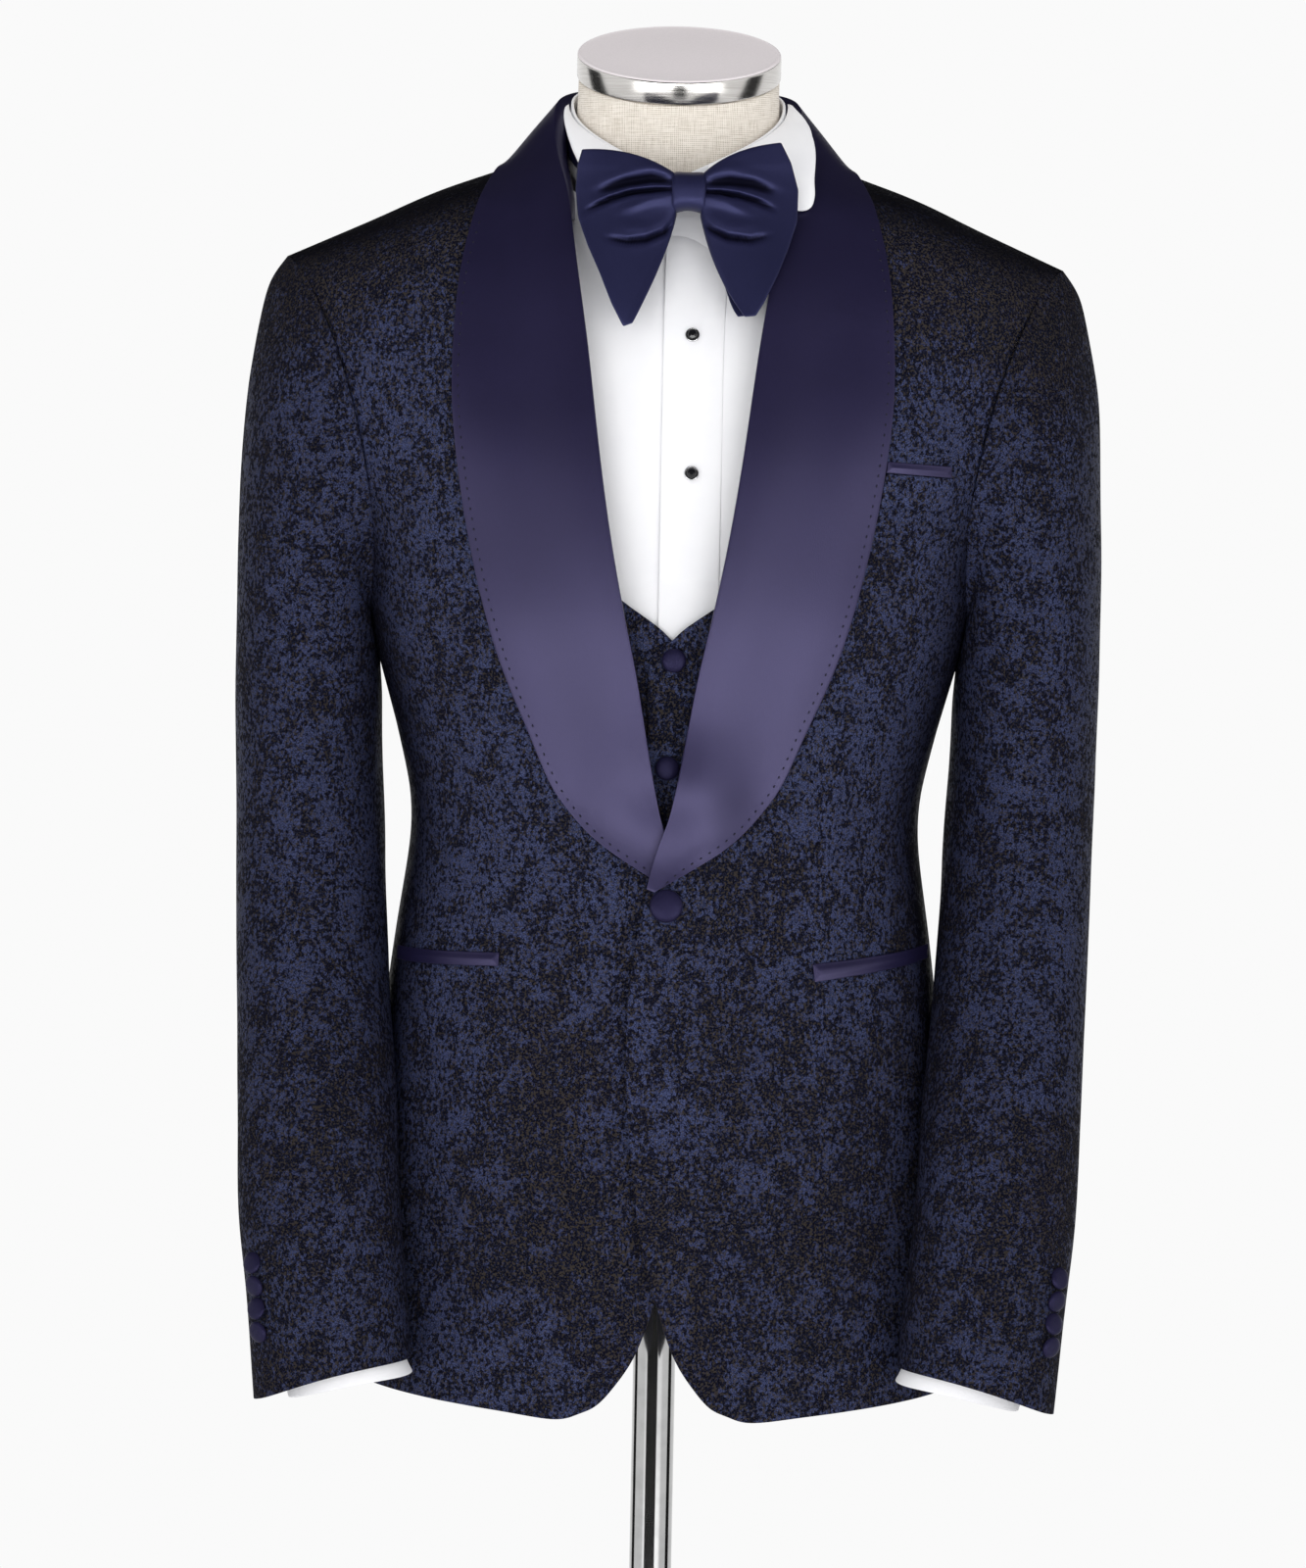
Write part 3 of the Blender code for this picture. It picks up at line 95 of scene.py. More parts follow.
# %% A socket and a recipe
class Value:
    """An output socket. Adding to it or multiplying it adds a Math node."""

    def __init__(self, recipe, socket):
        self.recipe, self.socket = recipe, socket

    def math(self, operation, *values):
        settings = {"operation": operation}
        return self.recipe.add("ShaderNodeMath", settings, dict(enumerate(values)))

    def __add__(self, other):
        return self.math("ADD", self, other)

    def __sub__(self, other):
        return self.math("SUBTRACT", self, other)

    def __rsub__(self, other):
        return self.math("SUBTRACT", other, self)

    def __mul__(self, other):
        return self.math("MULTIPLY", self, other)

    def __truediv__(self, other):
        return self.math("DIVIDE", self, other)

    def __rtruediv__(self, other):
        return self.math("DIVIDE", other, self)

    def __abs__(self):
        return self.math("ABSOLUTE", self)

    __radd__, __rmul__ = __add__, __mul__

    def step(self, low, high):
        """Rises smoothly from 0 to 1 between two values."""
        settings = {"interpolation_type": "SMOOTHSTEP"}
        return self.recipe.add("ShaderNodeMapRange", settings, {0: self, 1: low, 2: high})

    def wave(self):
        return self.math("SINE", self)


class Graph:
    """A graph of nodes, to which any node is added by its type."""

    def __init__(self, tree):
        self.tree = tree
        self.tree.nodes.clear()

    def feed(self, socket, value):
        if isinstance(value, Value):
            self.tree.links.new(value.socket, socket)
        else:
            socket.default_value = value

    def add(self, kind, settings, values, out=0):
        """Adds a node: its settings first, then its inputs by index or name."""
        node = self.tree.nodes.new(kind)
        for name, setting in settings.items():
            setattr(node, name, setting)
        for key, value in values.items():
            self.feed(node.inputs[key], value)
        return Value(self, node.outputs[out] if node.outputs else None)

    def parts(self, vector):
        split = self.tree.nodes.new("ShaderNodeSeparateXYZ")
        self.feed(split.inputs[0], vector)
        return [Value(self, output) for output in split.outputs]

    def joined(self, *values):
        return self.add("ShaderNodeCombineXYZ", {}, dict(enumerate(values)))

    def mix(self, share, first, second):
        """A colour between two colours."""
        values = {0: share, 6: first, 7: second}
        return self.add("ShaderNodeMix", {"data_type": "RGBA"}, values, 2)


class Recipe(Graph):
    """A material being made. Its shader's sockets are set by name."""

    def __init__(self, name):
        self.material = bpy.data.materials.new(name)
        self.material.use_nodes = True
        super().__init__(self.material.node_tree)
        self.shader = self.tree.nodes.new("ShaderNodeBsdfPrincipled")
        self.output = self.tree.nodes.new("ShaderNodeOutputMaterial")
        self.tree.links.new(self.shader.outputs[0], self.output.inputs[0])

    def cover(self, share, **sockets):
        """Mixes a second finish over the first."""
        values = {name.replace("_", " "): value for name, value in sockets.items()}
        second = self.add("ShaderNodeBsdfPrincipled", {}, values)
        first = Value(self, self.shader.outputs[0])
        mixed = self.add("ShaderNodeMixShader", {}, {0: share, 1: first, 2: second})
        self.tree.links.new(mixed.socket, self.output.inputs[0])

    def place(self):
        return self.add("ShaderNodeTexCoord", {}, {}, "Object")

    def cloth_map(self):
        """How far across and how far up its cloth a point lies, in metres."""
        return self.parts(self.add("ShaderNodeUVMap", {"uv_map": "cloth"}, {}))[:2]

    def painted_shade(self):
        return self.add("ShaderNodeAttribute", {"attribute_name": "shade"}, {}, "Fac")

    def stretched(self, vector, scale):
        return self.add("ShaderNodeVectorMath", {"operation": "MULTIPLY"}, {0: vector, 1: scale})

    def shifted(self, vector, shift):
        return self.add("ShaderNodeVectorMath", {"operation": "ADD"}, {0: vector, 1: shift})

    def noise(self, vector, scale, detail=2.0, rough=0.5, out=0):
        values = {"Vector": vector, "Scale": scale, "Detail": detail, "Roughness": rough}
        return self.add("ShaderNodeTexNoise", {}, values, out)

    def bump(self, height, distance, strength=1.0):
        values = {"Height": height, "Distance": distance, "Strength": strength}
        self.set(Normal=self.add("ShaderNodeBump", {}, values))

    def set(self, **sockets):
        for name, value in sockets.items():
            self.feed(self.shader.inputs[name.replace("_", " ")], value)


# %% [markdown]
# ## The jacquard
#
# Figured jacquard shows its blue weft in small wormlike islands. The ground between is a
# fine speckle of black, grey and a few warm threads. A thresholded noise, bent by a second
# noise, draws the islands, and a broad noise makes the cloth bluer here and blacker there.
# Cloth that turns to the side gets less light in a real studio than it does here. An
# attribute on each sheet darkens it there, so this is painted shade and not the weave.
# Towards the shoulders and the hem the cloth is also painted darker and browner, as
# painted shade; broad random patches of the same dulling are the cloth's own.


# %% Jacquard cloth
# Scales of the noise: islands, cracks, threads, patches and the broadest changes.
CELLS, CRACKS, THREADS, PATCHES, BROAD = 430.0, 560.0, 1250.0, 75.0, 9.0
CRACK_BEND, CELL_STRETCH = (0.0016, 0.0016, 0.0016), (1.0, 1.0, 0.85)
JACQUARD_WEFT, JACQUARD_WARP = 9000.0, 7800.0
# Each pair says where a mask starts and where it is full.
ISLAND_EDGE, CRACK_EDGE, WARM_EDGE = (0.440, 0.515), (0.012, 0.042), (0.555, 0.625)
SHOULDER_SHADE_FADE, HEM_SHADE_FADE, DULL_AND_SHADE_EDGE = (1.32, 1.43), (0.76, 1.10), (-0.2, 1.0)
COOL_THREADS, BLUE_THREADS = (0.42, 0.62), (0.34, 0.60)
JACQUARD_BLUE, JACQUARD_DEEP = (0.054, 0.067, 0.150, 1), (0.015, 0.018, 0.048, 1)
JACQUARD_BLACK, JACQUARD_COOL = (0.0022, 0.0021, 0.0052, 1), (0.013, 0.015, 0.034, 1)
JACQUARD_WARM = (0.044, 0.036, 0.029, 1)


def jacquard():
    cloth = Recipe("jacquard")
    place = cloth.place()
    bend = cloth.noise(place, CRACKS * 0.5, 1.0, out=1)
    bent = cloth.shifted(place, cloth.stretched(bend, CRACK_BEND))
    cells = cloth.noise(cloth.stretched(bent, CELL_STRETCH), CELLS, 3.0, 0.55)
    veins = cloth.noise(cloth.shifted(bent, (4.4, 1.3, 2.9)), CRACKS, 1.0)
    threads = cloth.noise(cloth.shifted(place, (1.7, 9.2, 4.1)), THREADS, 2.0, 0.65)
    tints = cloth.noise(cloth.shifted(place, (5.7, 0.2, 3.3)), THREADS * 0.6, 1.0)
    patches = cloth.noise(place, PATCHES, 3.0, 0.55)
    broad = cloth.noise(cloth.shifted(place, (3.1, 0.4, 7.7)), BROAD, 2.0)
    _, _, z = cloth.parts(place)
    # Painted shade: darker and browner towards the shoulders and the hem.
    high = (z + (patches - 0.5) * 0.14).step(*SHOULDER_SHADE_FADE)
    low = 1.0 - (z + (broad - 0.5) * 0.30).step(*HEM_SHADE_FADE)
    dull_and_shade = high * 0.9 + low * 0.35 + (0.5 - broad) * 1.6 + (0.5 - patches) * 0.8
    dull_and_shade = dull_and_shade.step(*DULL_AND_SHADE_EDGE)
    blue = (cells + (patches - 0.5) * 0.40 - dull_and_shade * 0.14).step(*ISLAND_EDGE)
    crack = 1.0 - abs(veins - 0.5).step(*CRACK_EDGE)
    ground = cloth.mix(threads.step(*COOL_THREADS) * 0.9, JACQUARD_BLACK, JACQUARD_COOL)
    lit = threads.step(*BLUE_THREADS) * (1.0 - dull_and_shade * 0.5)
    figure = cloth.mix(lit, JACQUARD_DEEP, JACQUARD_BLUE)
    colour = cloth.mix(crack * 0.85, cloth.mix(blue, ground, figure), JACQUARD_BLACK)
    warm = (tints + dull_and_shade * 0.05).step(*WARM_EDGE) * (0.60 + dull_and_shade * 0.15)
    colour = cloth.mix(warm, colour, JACQUARD_WARM)
    colour = cloth.mix(cloth.painted_shade(), colour, JACQUARD_BLACK)
    across, up = cloth.cloth_map()
    weave = (across * JACQUARD_WEFT).wave() * 0.5 + (up * JACQUARD_WARP).wave() * 0.5
    cloth.bump(blue * 0.6 - crack * 0.5 + weave * 0.12 + threads * 0.4, 0.00020)
    cloth.set(Base_Color=colour, Roughness=0.80 - blue * 0.28, Specular_IOR_Level=0.05)
    return cloth.material


# %% [markdown]
# ## Satin, cotton and linen
#
# Satin is smooth and gives a broad soft shine, with a very fine thread grain. Inside a
# gather a dark finish is mixed over it by the same attribute, as painted shade. The shirt's
# cotton is matt and white. The form's linen is a loose plain weave of uneven threads.


# %% Satin, cotton, linen and lining
SATIN_HOLLOW = (0.0015, 0.0014, 0.0050, 1)
SATIN_GRAIN, SATIN_CLOUDS, SATIN_WEFT, SATIN_WARP = 1500.0, 22.0, 14000.0, 5000.0
COTTON_THREADS, COTTON_GREY, COTTON_WHITE = 10500.0, (0.92, 0.92, 0.95, 1), (0.96, 0.96, 0.98, 1)
LINEN_SHADOW, LINEN_THREAD = (0.55, 0.485, 0.40, 1), (0.90, 0.84, 0.76, 1)
LINEN_THREADS, LINEN_SLUBS, SLUB_LENGTH, NECK_RADIUS = 5400.0, 1700.0, 90.0, 0.060
LINING_TWILL, LINING_DARK, LINING_NAVY = 7000.0, (0.004, 0.004, 0.010, 1), (0.010, 0.010, 0.026, 1)


def satin(name, colour, dark, shine, roughness, level):
    cloth = Recipe(name)
    place = cloth.place()
    grain = cloth.noise(cloth.stretched(place, (1.0, 1.0, 0.35)), SATIN_GRAIN, 2.0, 0.6)
    cloudy = cloth.noise(place, SATIN_CLOUDS, 2.0)
    across, up = cloth.cloth_map()
    threads = (across * SATIN_WEFT + up * SATIN_WARP).wave()
    share = grain * 0.55 + cloudy * 0.45
    hollow = cloth.painted_shade()
    cloth.set(Base_Color=cloth.mix(share.step(0.30, 0.70), dark, colour))
    cloth.set(Roughness=roughness + (grain - 0.5) * 0.16)
    cloth.cover(hollow, Base_Color=SATIN_HOLLOW, Roughness=0.9, Specular_IOR_Level=0.05)
    cloth.bump(grain * 0.7 + threads * 0.12, 0.00006)
    cloth.set(IOR=1.6, Specular_IOR_Level=level, Specular_Tint=shine)
    return cloth.material


def cotton():
    cloth = Recipe("shirt_cotton")
    across, up = cloth.cloth_map()
    threads = (across * COTTON_THREADS).wave() * 0.5 + (up * COTTON_THREADS).wave() * 0.5
    soft = cloth.noise(cloth.place(), 30.0, 3.0)
    tone = (threads * 0.10 + soft).step(0.2, 0.8)
    cloth.set(Base_Color=cloth.mix(tone, COTTON_GREY, COTTON_WHITE))
    cloth.set(Roughness=0.78 + threads * 0.05, Sheen_Weight=0.08)
    cloth.bump(threads + soft * 1.5, 0.00005)
    return cloth.material


def linen():
    cloth = Recipe("linen")
    x, y, z = cloth.parts(cloth.place())
    around = x.math("ARCTAN2", x, y) * NECK_RADIUS
    flat = cloth.joined(around, z, 0.0)
    uneven = cloth.noise(flat, 700.0, 2.0)
    weft = (z * LINEN_THREADS + uneven * 2.0).wave()
    warp = (around * LINEN_THREADS + uneven * 2.0).wave()
    slub_rows = cloth.noise(cloth.stretched(flat, (SLUB_LENGTH, LINEN_SLUBS, 1.0)), 1.0, 2.0)
    slub_ends = cloth.noise(cloth.stretched(flat, (LINEN_SLUBS, SLUB_LENGTH, 1.0)), 1.0, 2.0)
    thread = slub_rows * 0.5 + slub_ends * 0.5 + weft * 0.10 + warp * 0.10
    colour = cloth.mix(thread.step(0.28, 0.60), LINEN_SHADOW, LINEN_THREAD)
    cloth.set(Base_Color=colour, Roughness=0.9, Sheen_Weight=0.1)
    cloth.bump(thread, 0.0002)
    return cloth.material


def lining():
    cloth = Recipe("lining")
    across, up = cloth.cloth_map()
    twill = (across * LINING_TWILL + up * LINING_TWILL).wave()
    colour = cloth.mix(twill.step(-0.6, 0.8), LINING_DARK, LINING_NAVY)
    cloth.set(Base_Color=colour, Roughness=0.42)
    cloth.bump(twill, 0.00004)
    return cloth.material


# %% [markdown]
# ## Hard finishes
#
# The neck cap is brushed round its axis, so its grain follows the turned surface. Its flat
# top and the base are pale and hardly metallic, because they face the dark ceiling, which
# true metal would mirror. Their pale colour is a painted reflection, standing in for the
# light that the steel mirrors. The pole is bright chrome, and the studs are polished black.


# %% Steel, chrome and the studs' black
def brushed(name, along, dark, light, roughness, metallic):
    metal = Recipe(name)
    place = metal.place()
    grain = metal.noise(metal.stretched(place, along), 1.0, 3.0, 0.65)
    metal.set(Base_Color=metal.mix(grain.step(0.3, 0.7), dark, light), Metallic=metallic)
    metal.set(Roughness=roughness + (grain - 0.5) * 0.12)
    metal.bump(grain, 0.00003)
    return metal.material


def hard(name, colour, roughness, metallic, wear):
    solid = Recipe(name)
    smudge = solid.noise(solid.place(), 90.0, 3.0)
    smudged = tuple(0.86 * c for c in colour[:3]) + (1,)
    tone = solid.mix(smudge.step(0.3, 0.8), colour, smudged)
    solid.set(Base_Color=tone, Metallic=metallic, Roughness=roughness + smudge * wear)
    return solid.material


SATINS = {
    # finish: colour, darker colour, colour of the shine, roughness, level of the shine
    "satin": (
        (0.0110, 0.0090, 0.0340, 1), (0.0075, 0.0062, 0.0250, 1), (0.60, 0.55, 0.98, 1), 0.40, 0.60,
    ),
    "bow_satin": (
        (0.0130, 0.0135, 0.0440, 1), (0.0090, 0.0095, 0.0330, 1), (0.40, 0.42, 0.92, 1), 0.47, 0.60,
    ),
    "button_satin": (
        (0.0120, 0.0105, 0.0330, 1), (0.0085, 0.0075, 0.0250, 1), (0.45, 0.42, 0.85, 1), 0.42, 0.22,
    ),
}
BRUSHED = {
    # finish: scale of the grain on each axis, dark and light colour, roughness, metallic
    "brushed_steel": ((24, 24, 1500), (0.56, 0.54, 0.52, 1), (0.68, 0.66, 0.64, 1), 0.17, 1.0),
    # Painted reflection: the cap's top and the base are pale and hardly metallic in place of
    # mirrored light.
    "cap_top_steel": ((900, 900, 900), (0.84, 0.785, 0.80, 1), (0.89, 0.83, 0.85, 1), 0.50, 0.05),
    "base_steel": ((900, 900, 900), (0.50, 0.49, 0.48, 1), (0.58, 0.57, 0.56, 1), 0.45, 0.30),
}
HARD = {
    # finish: colour, roughness, metallic, how much rougher a smudge is
    "chrome": ((0.50, 0.50, 0.50, 1), 0.06, 1.0, 0.04),
    "stud_black": ((0.008, 0.008, 0.010, 1), 0.08, 0.0, 0.05),
    "stud_rim": ((0.75, 0.75, 0.76, 1), 0.18, 1.0, 0.05),
    "thread": ((0.006, 0.005, 0.022, 1), 0.70, 0.0, 0.10),
    "floor_paint": ((0.86, 0.86, 0.87, 1), 0.60, 0.0, 0.10),
}
JACQUARD, COTTON, LINEN, LINING = jacquard(), cotton(), linen(), lining()
SATIN, BOW_SATIN, BUTTON_SATIN = (satin(name, *finish) for name, finish in SATINS.items())
CAP_STEEL, CAP_TOP_STEEL, BASE_STEEL = (brushed(name, *finish) for name, finish in BRUSHED.items())
CHROME, STUD_BLACK, STUD_RIM, THREAD, FLOOR_PAINT = (
    hard(name, *finish) for name, finish in HARD.items()
)
print(len(bpy.data.materials), "materials")

# %% [markdown]
# ## Floor and light
#
# Plain soft light comes from all round and most from the front, with two wide soft boxes.
# Polished metal and satin see a studio of their own instead: pale walls, a dark gap and a
# wide dark panel in front, a dark ceiling, three narrow dark panels near the floor, and a
# bright band of floor in front. So the pole has one black stripe, the cap's rim is
# streaked, and satin is dark above and shines lower down. This change is in the light and
# not in the satin, so it is gone under other lights.

# %% Floor and light
SOFT_BOXES = (
    # name, place, aim, width, height, power
    ("key_light", (-1.2, -3.0, 1.30), (0, 0, 1.15), 1.6, 1.6, 20),
    ("fill_light", (1.2, -3.0, 1.20), (0, 0, 1.15), 1.6, 1.6, 16),
)
FLOOR_RADIUS, FLOOR_SHIFT = 2.2, 0.7
BACKDROP, SOFT_FRONT, SOFT_BACK = 0.955, 1.02, 0.62
ROOM, DARK = 0.95, 0.015
# The bright band of floor: its strength, then where it starts, ends and stops sideways.
FRONT_FLOOR, FLOOR_NEAR, FLOOR_FAR, FLOOR_SIDE = 6.5, (0.14, 0.36), (0.50, 0.58), (0.60, 0.80)
GAP_RISE, GAP_TURN, GAP_EDGE = math.radians(50), math.radians(8.4), (0.474, 0.492)
CEILING, FRONT_FADE = (0.12, 0.28), (-0.3, 0.9)
# Dark panels: the way round from the front and half the width, in half turns; then the
# bottom and the top, as the height of the direction.
PANELS = (
    (-0.047, 0.172, -0.26, 0.60), (0.010, 0.055, -1.10, -0.42),
    (0.550, 0.075, -1.10, -0.06), (-0.635, 0.075, -1.10, 0.00),
)


def make_floor():
    work = bmesh.new()
    middle = Matrix.Translation((0, FLOOR_SHIFT, 0))
    bmesh.ops.create_circle(work, cap_ends=True, segments=96, radius=FLOOR_RADIUS, matrix=middle)
    floor = bpy.data.objects.new("floor", bpy.data.meshes.new("floor"))
    work.to_mesh(floor.data)
    work.free()
    floor.data.materials.append(FLOOR_PAINT)
    scene.collection.objects.link(floor)


def make_lights():
    for name, place, aim, width, height, power in SOFT_BOXES:
        lamp = bpy.data.lights.new(name, "AREA")
        lamp.shape, lamp.size, lamp.size_y, lamp.energy = "RECTANGLE", width, height, power
        light = bpy.data.objects.new(name, lamp)
        light.visible_glossy = False
        scene.collection.objects.link(light)
        light.location = place
        way = Vector(aim) - Vector(place)
        light.rotation_euler = way.to_track_quat("-Z", "Y").to_euler()


def dark_share(sky, x, y, z):
    """How dark the room is in a direction: the gap, the ceiling and the panels."""
    flat = math.cos(GAP_RISE)
    facing = z * math.sin(GAP_RISE) - y * (flat * math.cos(GAP_TURN))
    facing = facing - x * (flat * math.sin(GAP_TURN))
    dark = facing.math("MAXIMUM", facing.step(*GAP_EDGE), z.step(*CEILING))
    around = x.math("ARCTAN2", x, 0.0 - y) / math.pi
    for turn, half, bottom, top in PANELS:
        off = abs(around - turn)
        panel = (1.0 - off.step(half * 0.85, half)) * z.step(bottom - 0.02, bottom + 0.02)
        dark = dark.math("MAXIMUM", dark, panel * (1.0 - z.step(top - 0.03, top + 0.03)))
    return dark


def make_room():
    world = bpy.data.worlds.new("room")
    world.use_nodes = True
    sky = Graph(world.node_tree)
    x, y, z = sky.parts(sky.add("ShaderNodeTexCoord", {}, {}))
    front = (0.0 - y).step(*FRONT_FADE)
    soft = SOFT_BACK + front * (SOFT_FRONT - SOFT_BACK)
    down = 0.0 - z
    lit = down.step(*FLOOR_NEAR) * (1.0 - down.step(*FLOOR_FAR)) * (1.0 - abs(x).step(*FLOOR_SIDE))
    wall = ROOM + lit * front * (FRONT_FLOOR - ROOM)
    wall = wall + dark_share(sky, x, y, z) * (DARK - wall)
    glossy = sky.add("ShaderNodeLightPath", {}, {}, "Is Glossy Ray")
    camera = sky.add("ShaderNodeLightPath", {}, {}, "Is Camera Ray")
    strength = soft + glossy * (wall - soft)
    strength = strength + camera * (BACKDROP - strength)
    back = sky.add("ShaderNodeBackground", {}, {"Color": (1, 1, 1, 1), "Strength": strength})
    sky.add("ShaderNodeOutputWorld", {}, {"Surface": back})
    scene.world = world
    scene.view_settings.view_transform = "Standard"


make_floor()
make_lights()
make_room()

# %% [markdown]
# ## From a cut panel to soft cloth
#
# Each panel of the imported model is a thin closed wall. Its outer side is kept, its loose
# triangles are joined into quads, and the quads are subdivided. The control points are
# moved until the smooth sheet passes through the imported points, so no size is lost.

# %% Helpers for sheets
MERGE, SHARP, RIM = 1e-6, math.radians(50), 1.08
QUAD_BEND, QUAD_SKEW = math.radians(40), math.radians(60)
CORE_BACK, CORE_TOP, ARM_OUT, ARM_IN, ARM_FORWARD = 0.004, 1.40, 0.205, 0.008, 0.07
ELBOW, ELBOW_REACH = 1.12, 0.25
SIDES = {"left": 1, "right": -1}


def merged(node):
    work = bmesh.new()
    work.from_mesh(nodes[node].data)
    bmesh.ops.remove_doubles(work, verts=work.verts, dist=MERGE)
    work.normal_update()
    return work


def regions_of(work):
    """Groups of faces that no sharp edge divides."""
    left, regions = set(work.faces), []
    while left:
        todo = [left.pop()]
        region = list(todo)
        while todo:
            for edge in todo.pop().edges:
                if edge.calc_face_angle(0.0) < SHARP:
                    found = [face for face in edge.link_faces if face in left]
                    left.difference_update(found)
                    region += found
                    todo += found
        regions.append(region)
    return sorted(regions, key=lambda region: -sum(face.calc_area() for face in region))


def into_quads(work):
    bmesh.ops.join_triangles(
        work, faces=work.faces, angle_face_threshold=QUAD_BEND, angle_shape_threshold=QUAD_SKEW
    )


def trunk_core(point):
    """A place inside the body, level with a point."""
    return Vector((0.5 * point.x, CORE_BACK, min(point.z, CORE_TOP)))


def sleeve_core(point):
    """A place inside the arm, which reaches forwards below the elbow."""
    side = 1 if point.x > 0 else -1
    bent = min(max((ELBOW - point.z) / ELBOW_REACH, 0), 1)
    return Vector((side * (ARM_OUT - ARM_IN * bent), -ARM_FORWARD * bent, point.z))


def no_face(face):
    return False


def anywhere(place):
    return True


def outer_side(node, core, wall, keep=no_face):
    """The outer side of a wall as quads. The narrow faces of its rim go first."""
    work = merged(node)

    def narrow(face):
        return min(edge.calc_length() for edge in face.edges) < RIM * wall

    def outwardness(region):
        middles = [(face, face.calc_center_median()) for face in region]
        return sum(face.calc_area() * face.normal.dot(spot - core(spot)) for face, spot in middles)

    rim = [face for face in work.faces if narrow(face) and not keep(face)]
    bmesh.ops.delete(work, geom=rim, context="FACES")
    kept = set(max(regions_of(work)[:2], key=outwardness))
    dropped = [face for face in work.faces if face not in kept]
    bmesh.ops.delete(work, geom=dropped, context="FACES")
    into_quads(work)
    return work


def new_object(name, mesh, *materials):
    piece = bpy.data.objects.new(name, mesh)
    scene.collection.objects.link(piece)
    for material in materials:
        mesh.materials.append(material)
    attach(piece, "root")
    return piece


def from_work(name, work, *materials):
    mesh = bpy.data.meshes.new(name)
    work.to_mesh(mesh)
    work.free()
    mesh.shade_smooth()
    return new_object(name, mesh, *materials)


def positions(mesh):
    flat = np.empty(len(mesh.vertices) * 3)
    mesh.vertices.foreach_get("co", flat)
    return flat.reshape(-1, 3)


def place_at(mesh, points):
    mesh.vertices.foreach_set("co", np.asarray(points).ravel())
    mesh.update()


def evaluated(piece):
    bpy.context.view_layer.update()
    return piece.evaluated_get(bpy.context.evaluated_depsgraph_get())


FIT_ROUNDS, FIT_LEVELS = 3, 2


def subdivided(piece, levels):
    """Replaces a piece's mesh by a smooth one that passes through its points."""
    smoother = piece.modifiers.new("smoother", "SUBSURF")
    smoother.boundary_smooth = "PRESERVE_CORNERS"
    smoother.levels = smoother.render_levels = FIT_LEVELS
    wanted = positions(piece.data)
    control = wanted.copy()
    for _ in range(FIT_ROUNDS):
        place_at(piece.data, control)
        shape = evaluated(piece)
        reached = positions(shape.to_mesh())[: len(wanted)]
        shape.to_mesh_clear()
        control += wanted - reached
    place_at(piece.data, control)
    smoother.levels = smoother.render_levels = levels
    fine = bpy.data.meshes.new_from_object(evaluated(piece))
    piece.modifiers.clear()
    fine.name = piece.name
    piece.data = fine


# %% [markdown]
# A weave has to follow the cloth. So each sheet gets a map in metres: how far round the
# body or the sleeve a point lies, and how high. Faces behind the seam are kept whole.


# %% The cloth map
TRUNK_RADIUS, SLEEVE_RADIUS, BEHIND = 0.15, 0.05, 0.02


def map_cloth(piece, centre=trunk_core):
    mesh = piece.data
    points = positions(mesh)
    middles = np.array([centre(Vector(p)) for p in points])
    middles[:, 0] = 0 if centre is trunk_core else middles[:, 0]
    away = points - middles
    radius = SLEEVE_RADIUS if centre is sleeve_core else TRUNK_RADIUS
    behind = away[:, 1].mean() > BEHIND
    turn = np.arctan2(away[:, 0], away[:, 1] if behind else -away[:, 1])
    corner_of = np.empty(len(mesh.loops), int)
    mesh.loops.foreach_get("vertex_index", corner_of)
    starts = np.empty(len(mesh.polygons), int)
    mesh.polygons.foreach_get("loop_start", starts)
    sizes = np.empty(len(mesh.polygons), int)
    mesh.polygons.foreach_get("loop_total", sizes)
    turns = turn[corner_of]
    first = np.repeat(turns[starts], sizes)
    turns = turns + math.tau * np.round((first - turns) / math.tau)
    layer = mesh.uv_layers.get("cloth") or mesh.uv_layers.new(name="cloth")
    spots = np.stack([turns * radius, points[corner_of, 2]], axis=1)
    layer.uv.foreach_set("vector", spots.astype(np.float32).ravel())


# %% [markdown]
# ## Folds
#
# Each fold is a line of places on the front or the back, with its own depth and width. A
# trough pushes the cloth in and leaves a low swell on either side of it. A ridge is a
# trough of negative depth. Folds die out towards their ends and near sewn seams.

# %% Folds
FRONT, BACK = -1, 1
FOLD_SWELL, FOLD_FALL, FOLD_TAPER = 0.9, 1.1, 0.7


def smooth_step(t):
    t = np.clip(t, 0.0, 1.0)
    return t * t * (3 - 2 * t)


def fold_push(points, line, depth, width):
    """How far each point is pushed in by one fold along its line of (x, z) places."""
    places = np.array(line, float)
    flat = points[:, (0, 2)]
    runs = np.linalg.norm(np.diff(places, axis=0), axis=1)
    whole, passed = runs.sum(), 0.0
    best = np.full(len(flat), 1e9)
    along = np.zeros(len(flat))
    for start, end, run in zip(places, places[1:], runs):
        share = np.clip((flat - start) @ (end - start) / run**2, 0, 1)
        far = np.linalg.norm(flat - start - share[:, None] * (end - start), axis=1)
        near = far < best
        best[near] = far[near]
        along[near] = (passed + share[near] * run) / whole
        passed += run
    t = best / width
    taper = np.sin(math.pi * np.clip(along, 0.02, 0.98)) ** FOLD_TAPER
    return depth * taper * (1 - FOLD_SWELL * t**2) * np.exp(-FOLD_FALL * t**2)


def vertex_normals(mesh):
    flat = np.empty(len(mesh.vertices) * 3)
    mesh.vertex_normals.foreach_get("vector", flat)
    return flat.reshape(-1, 3)


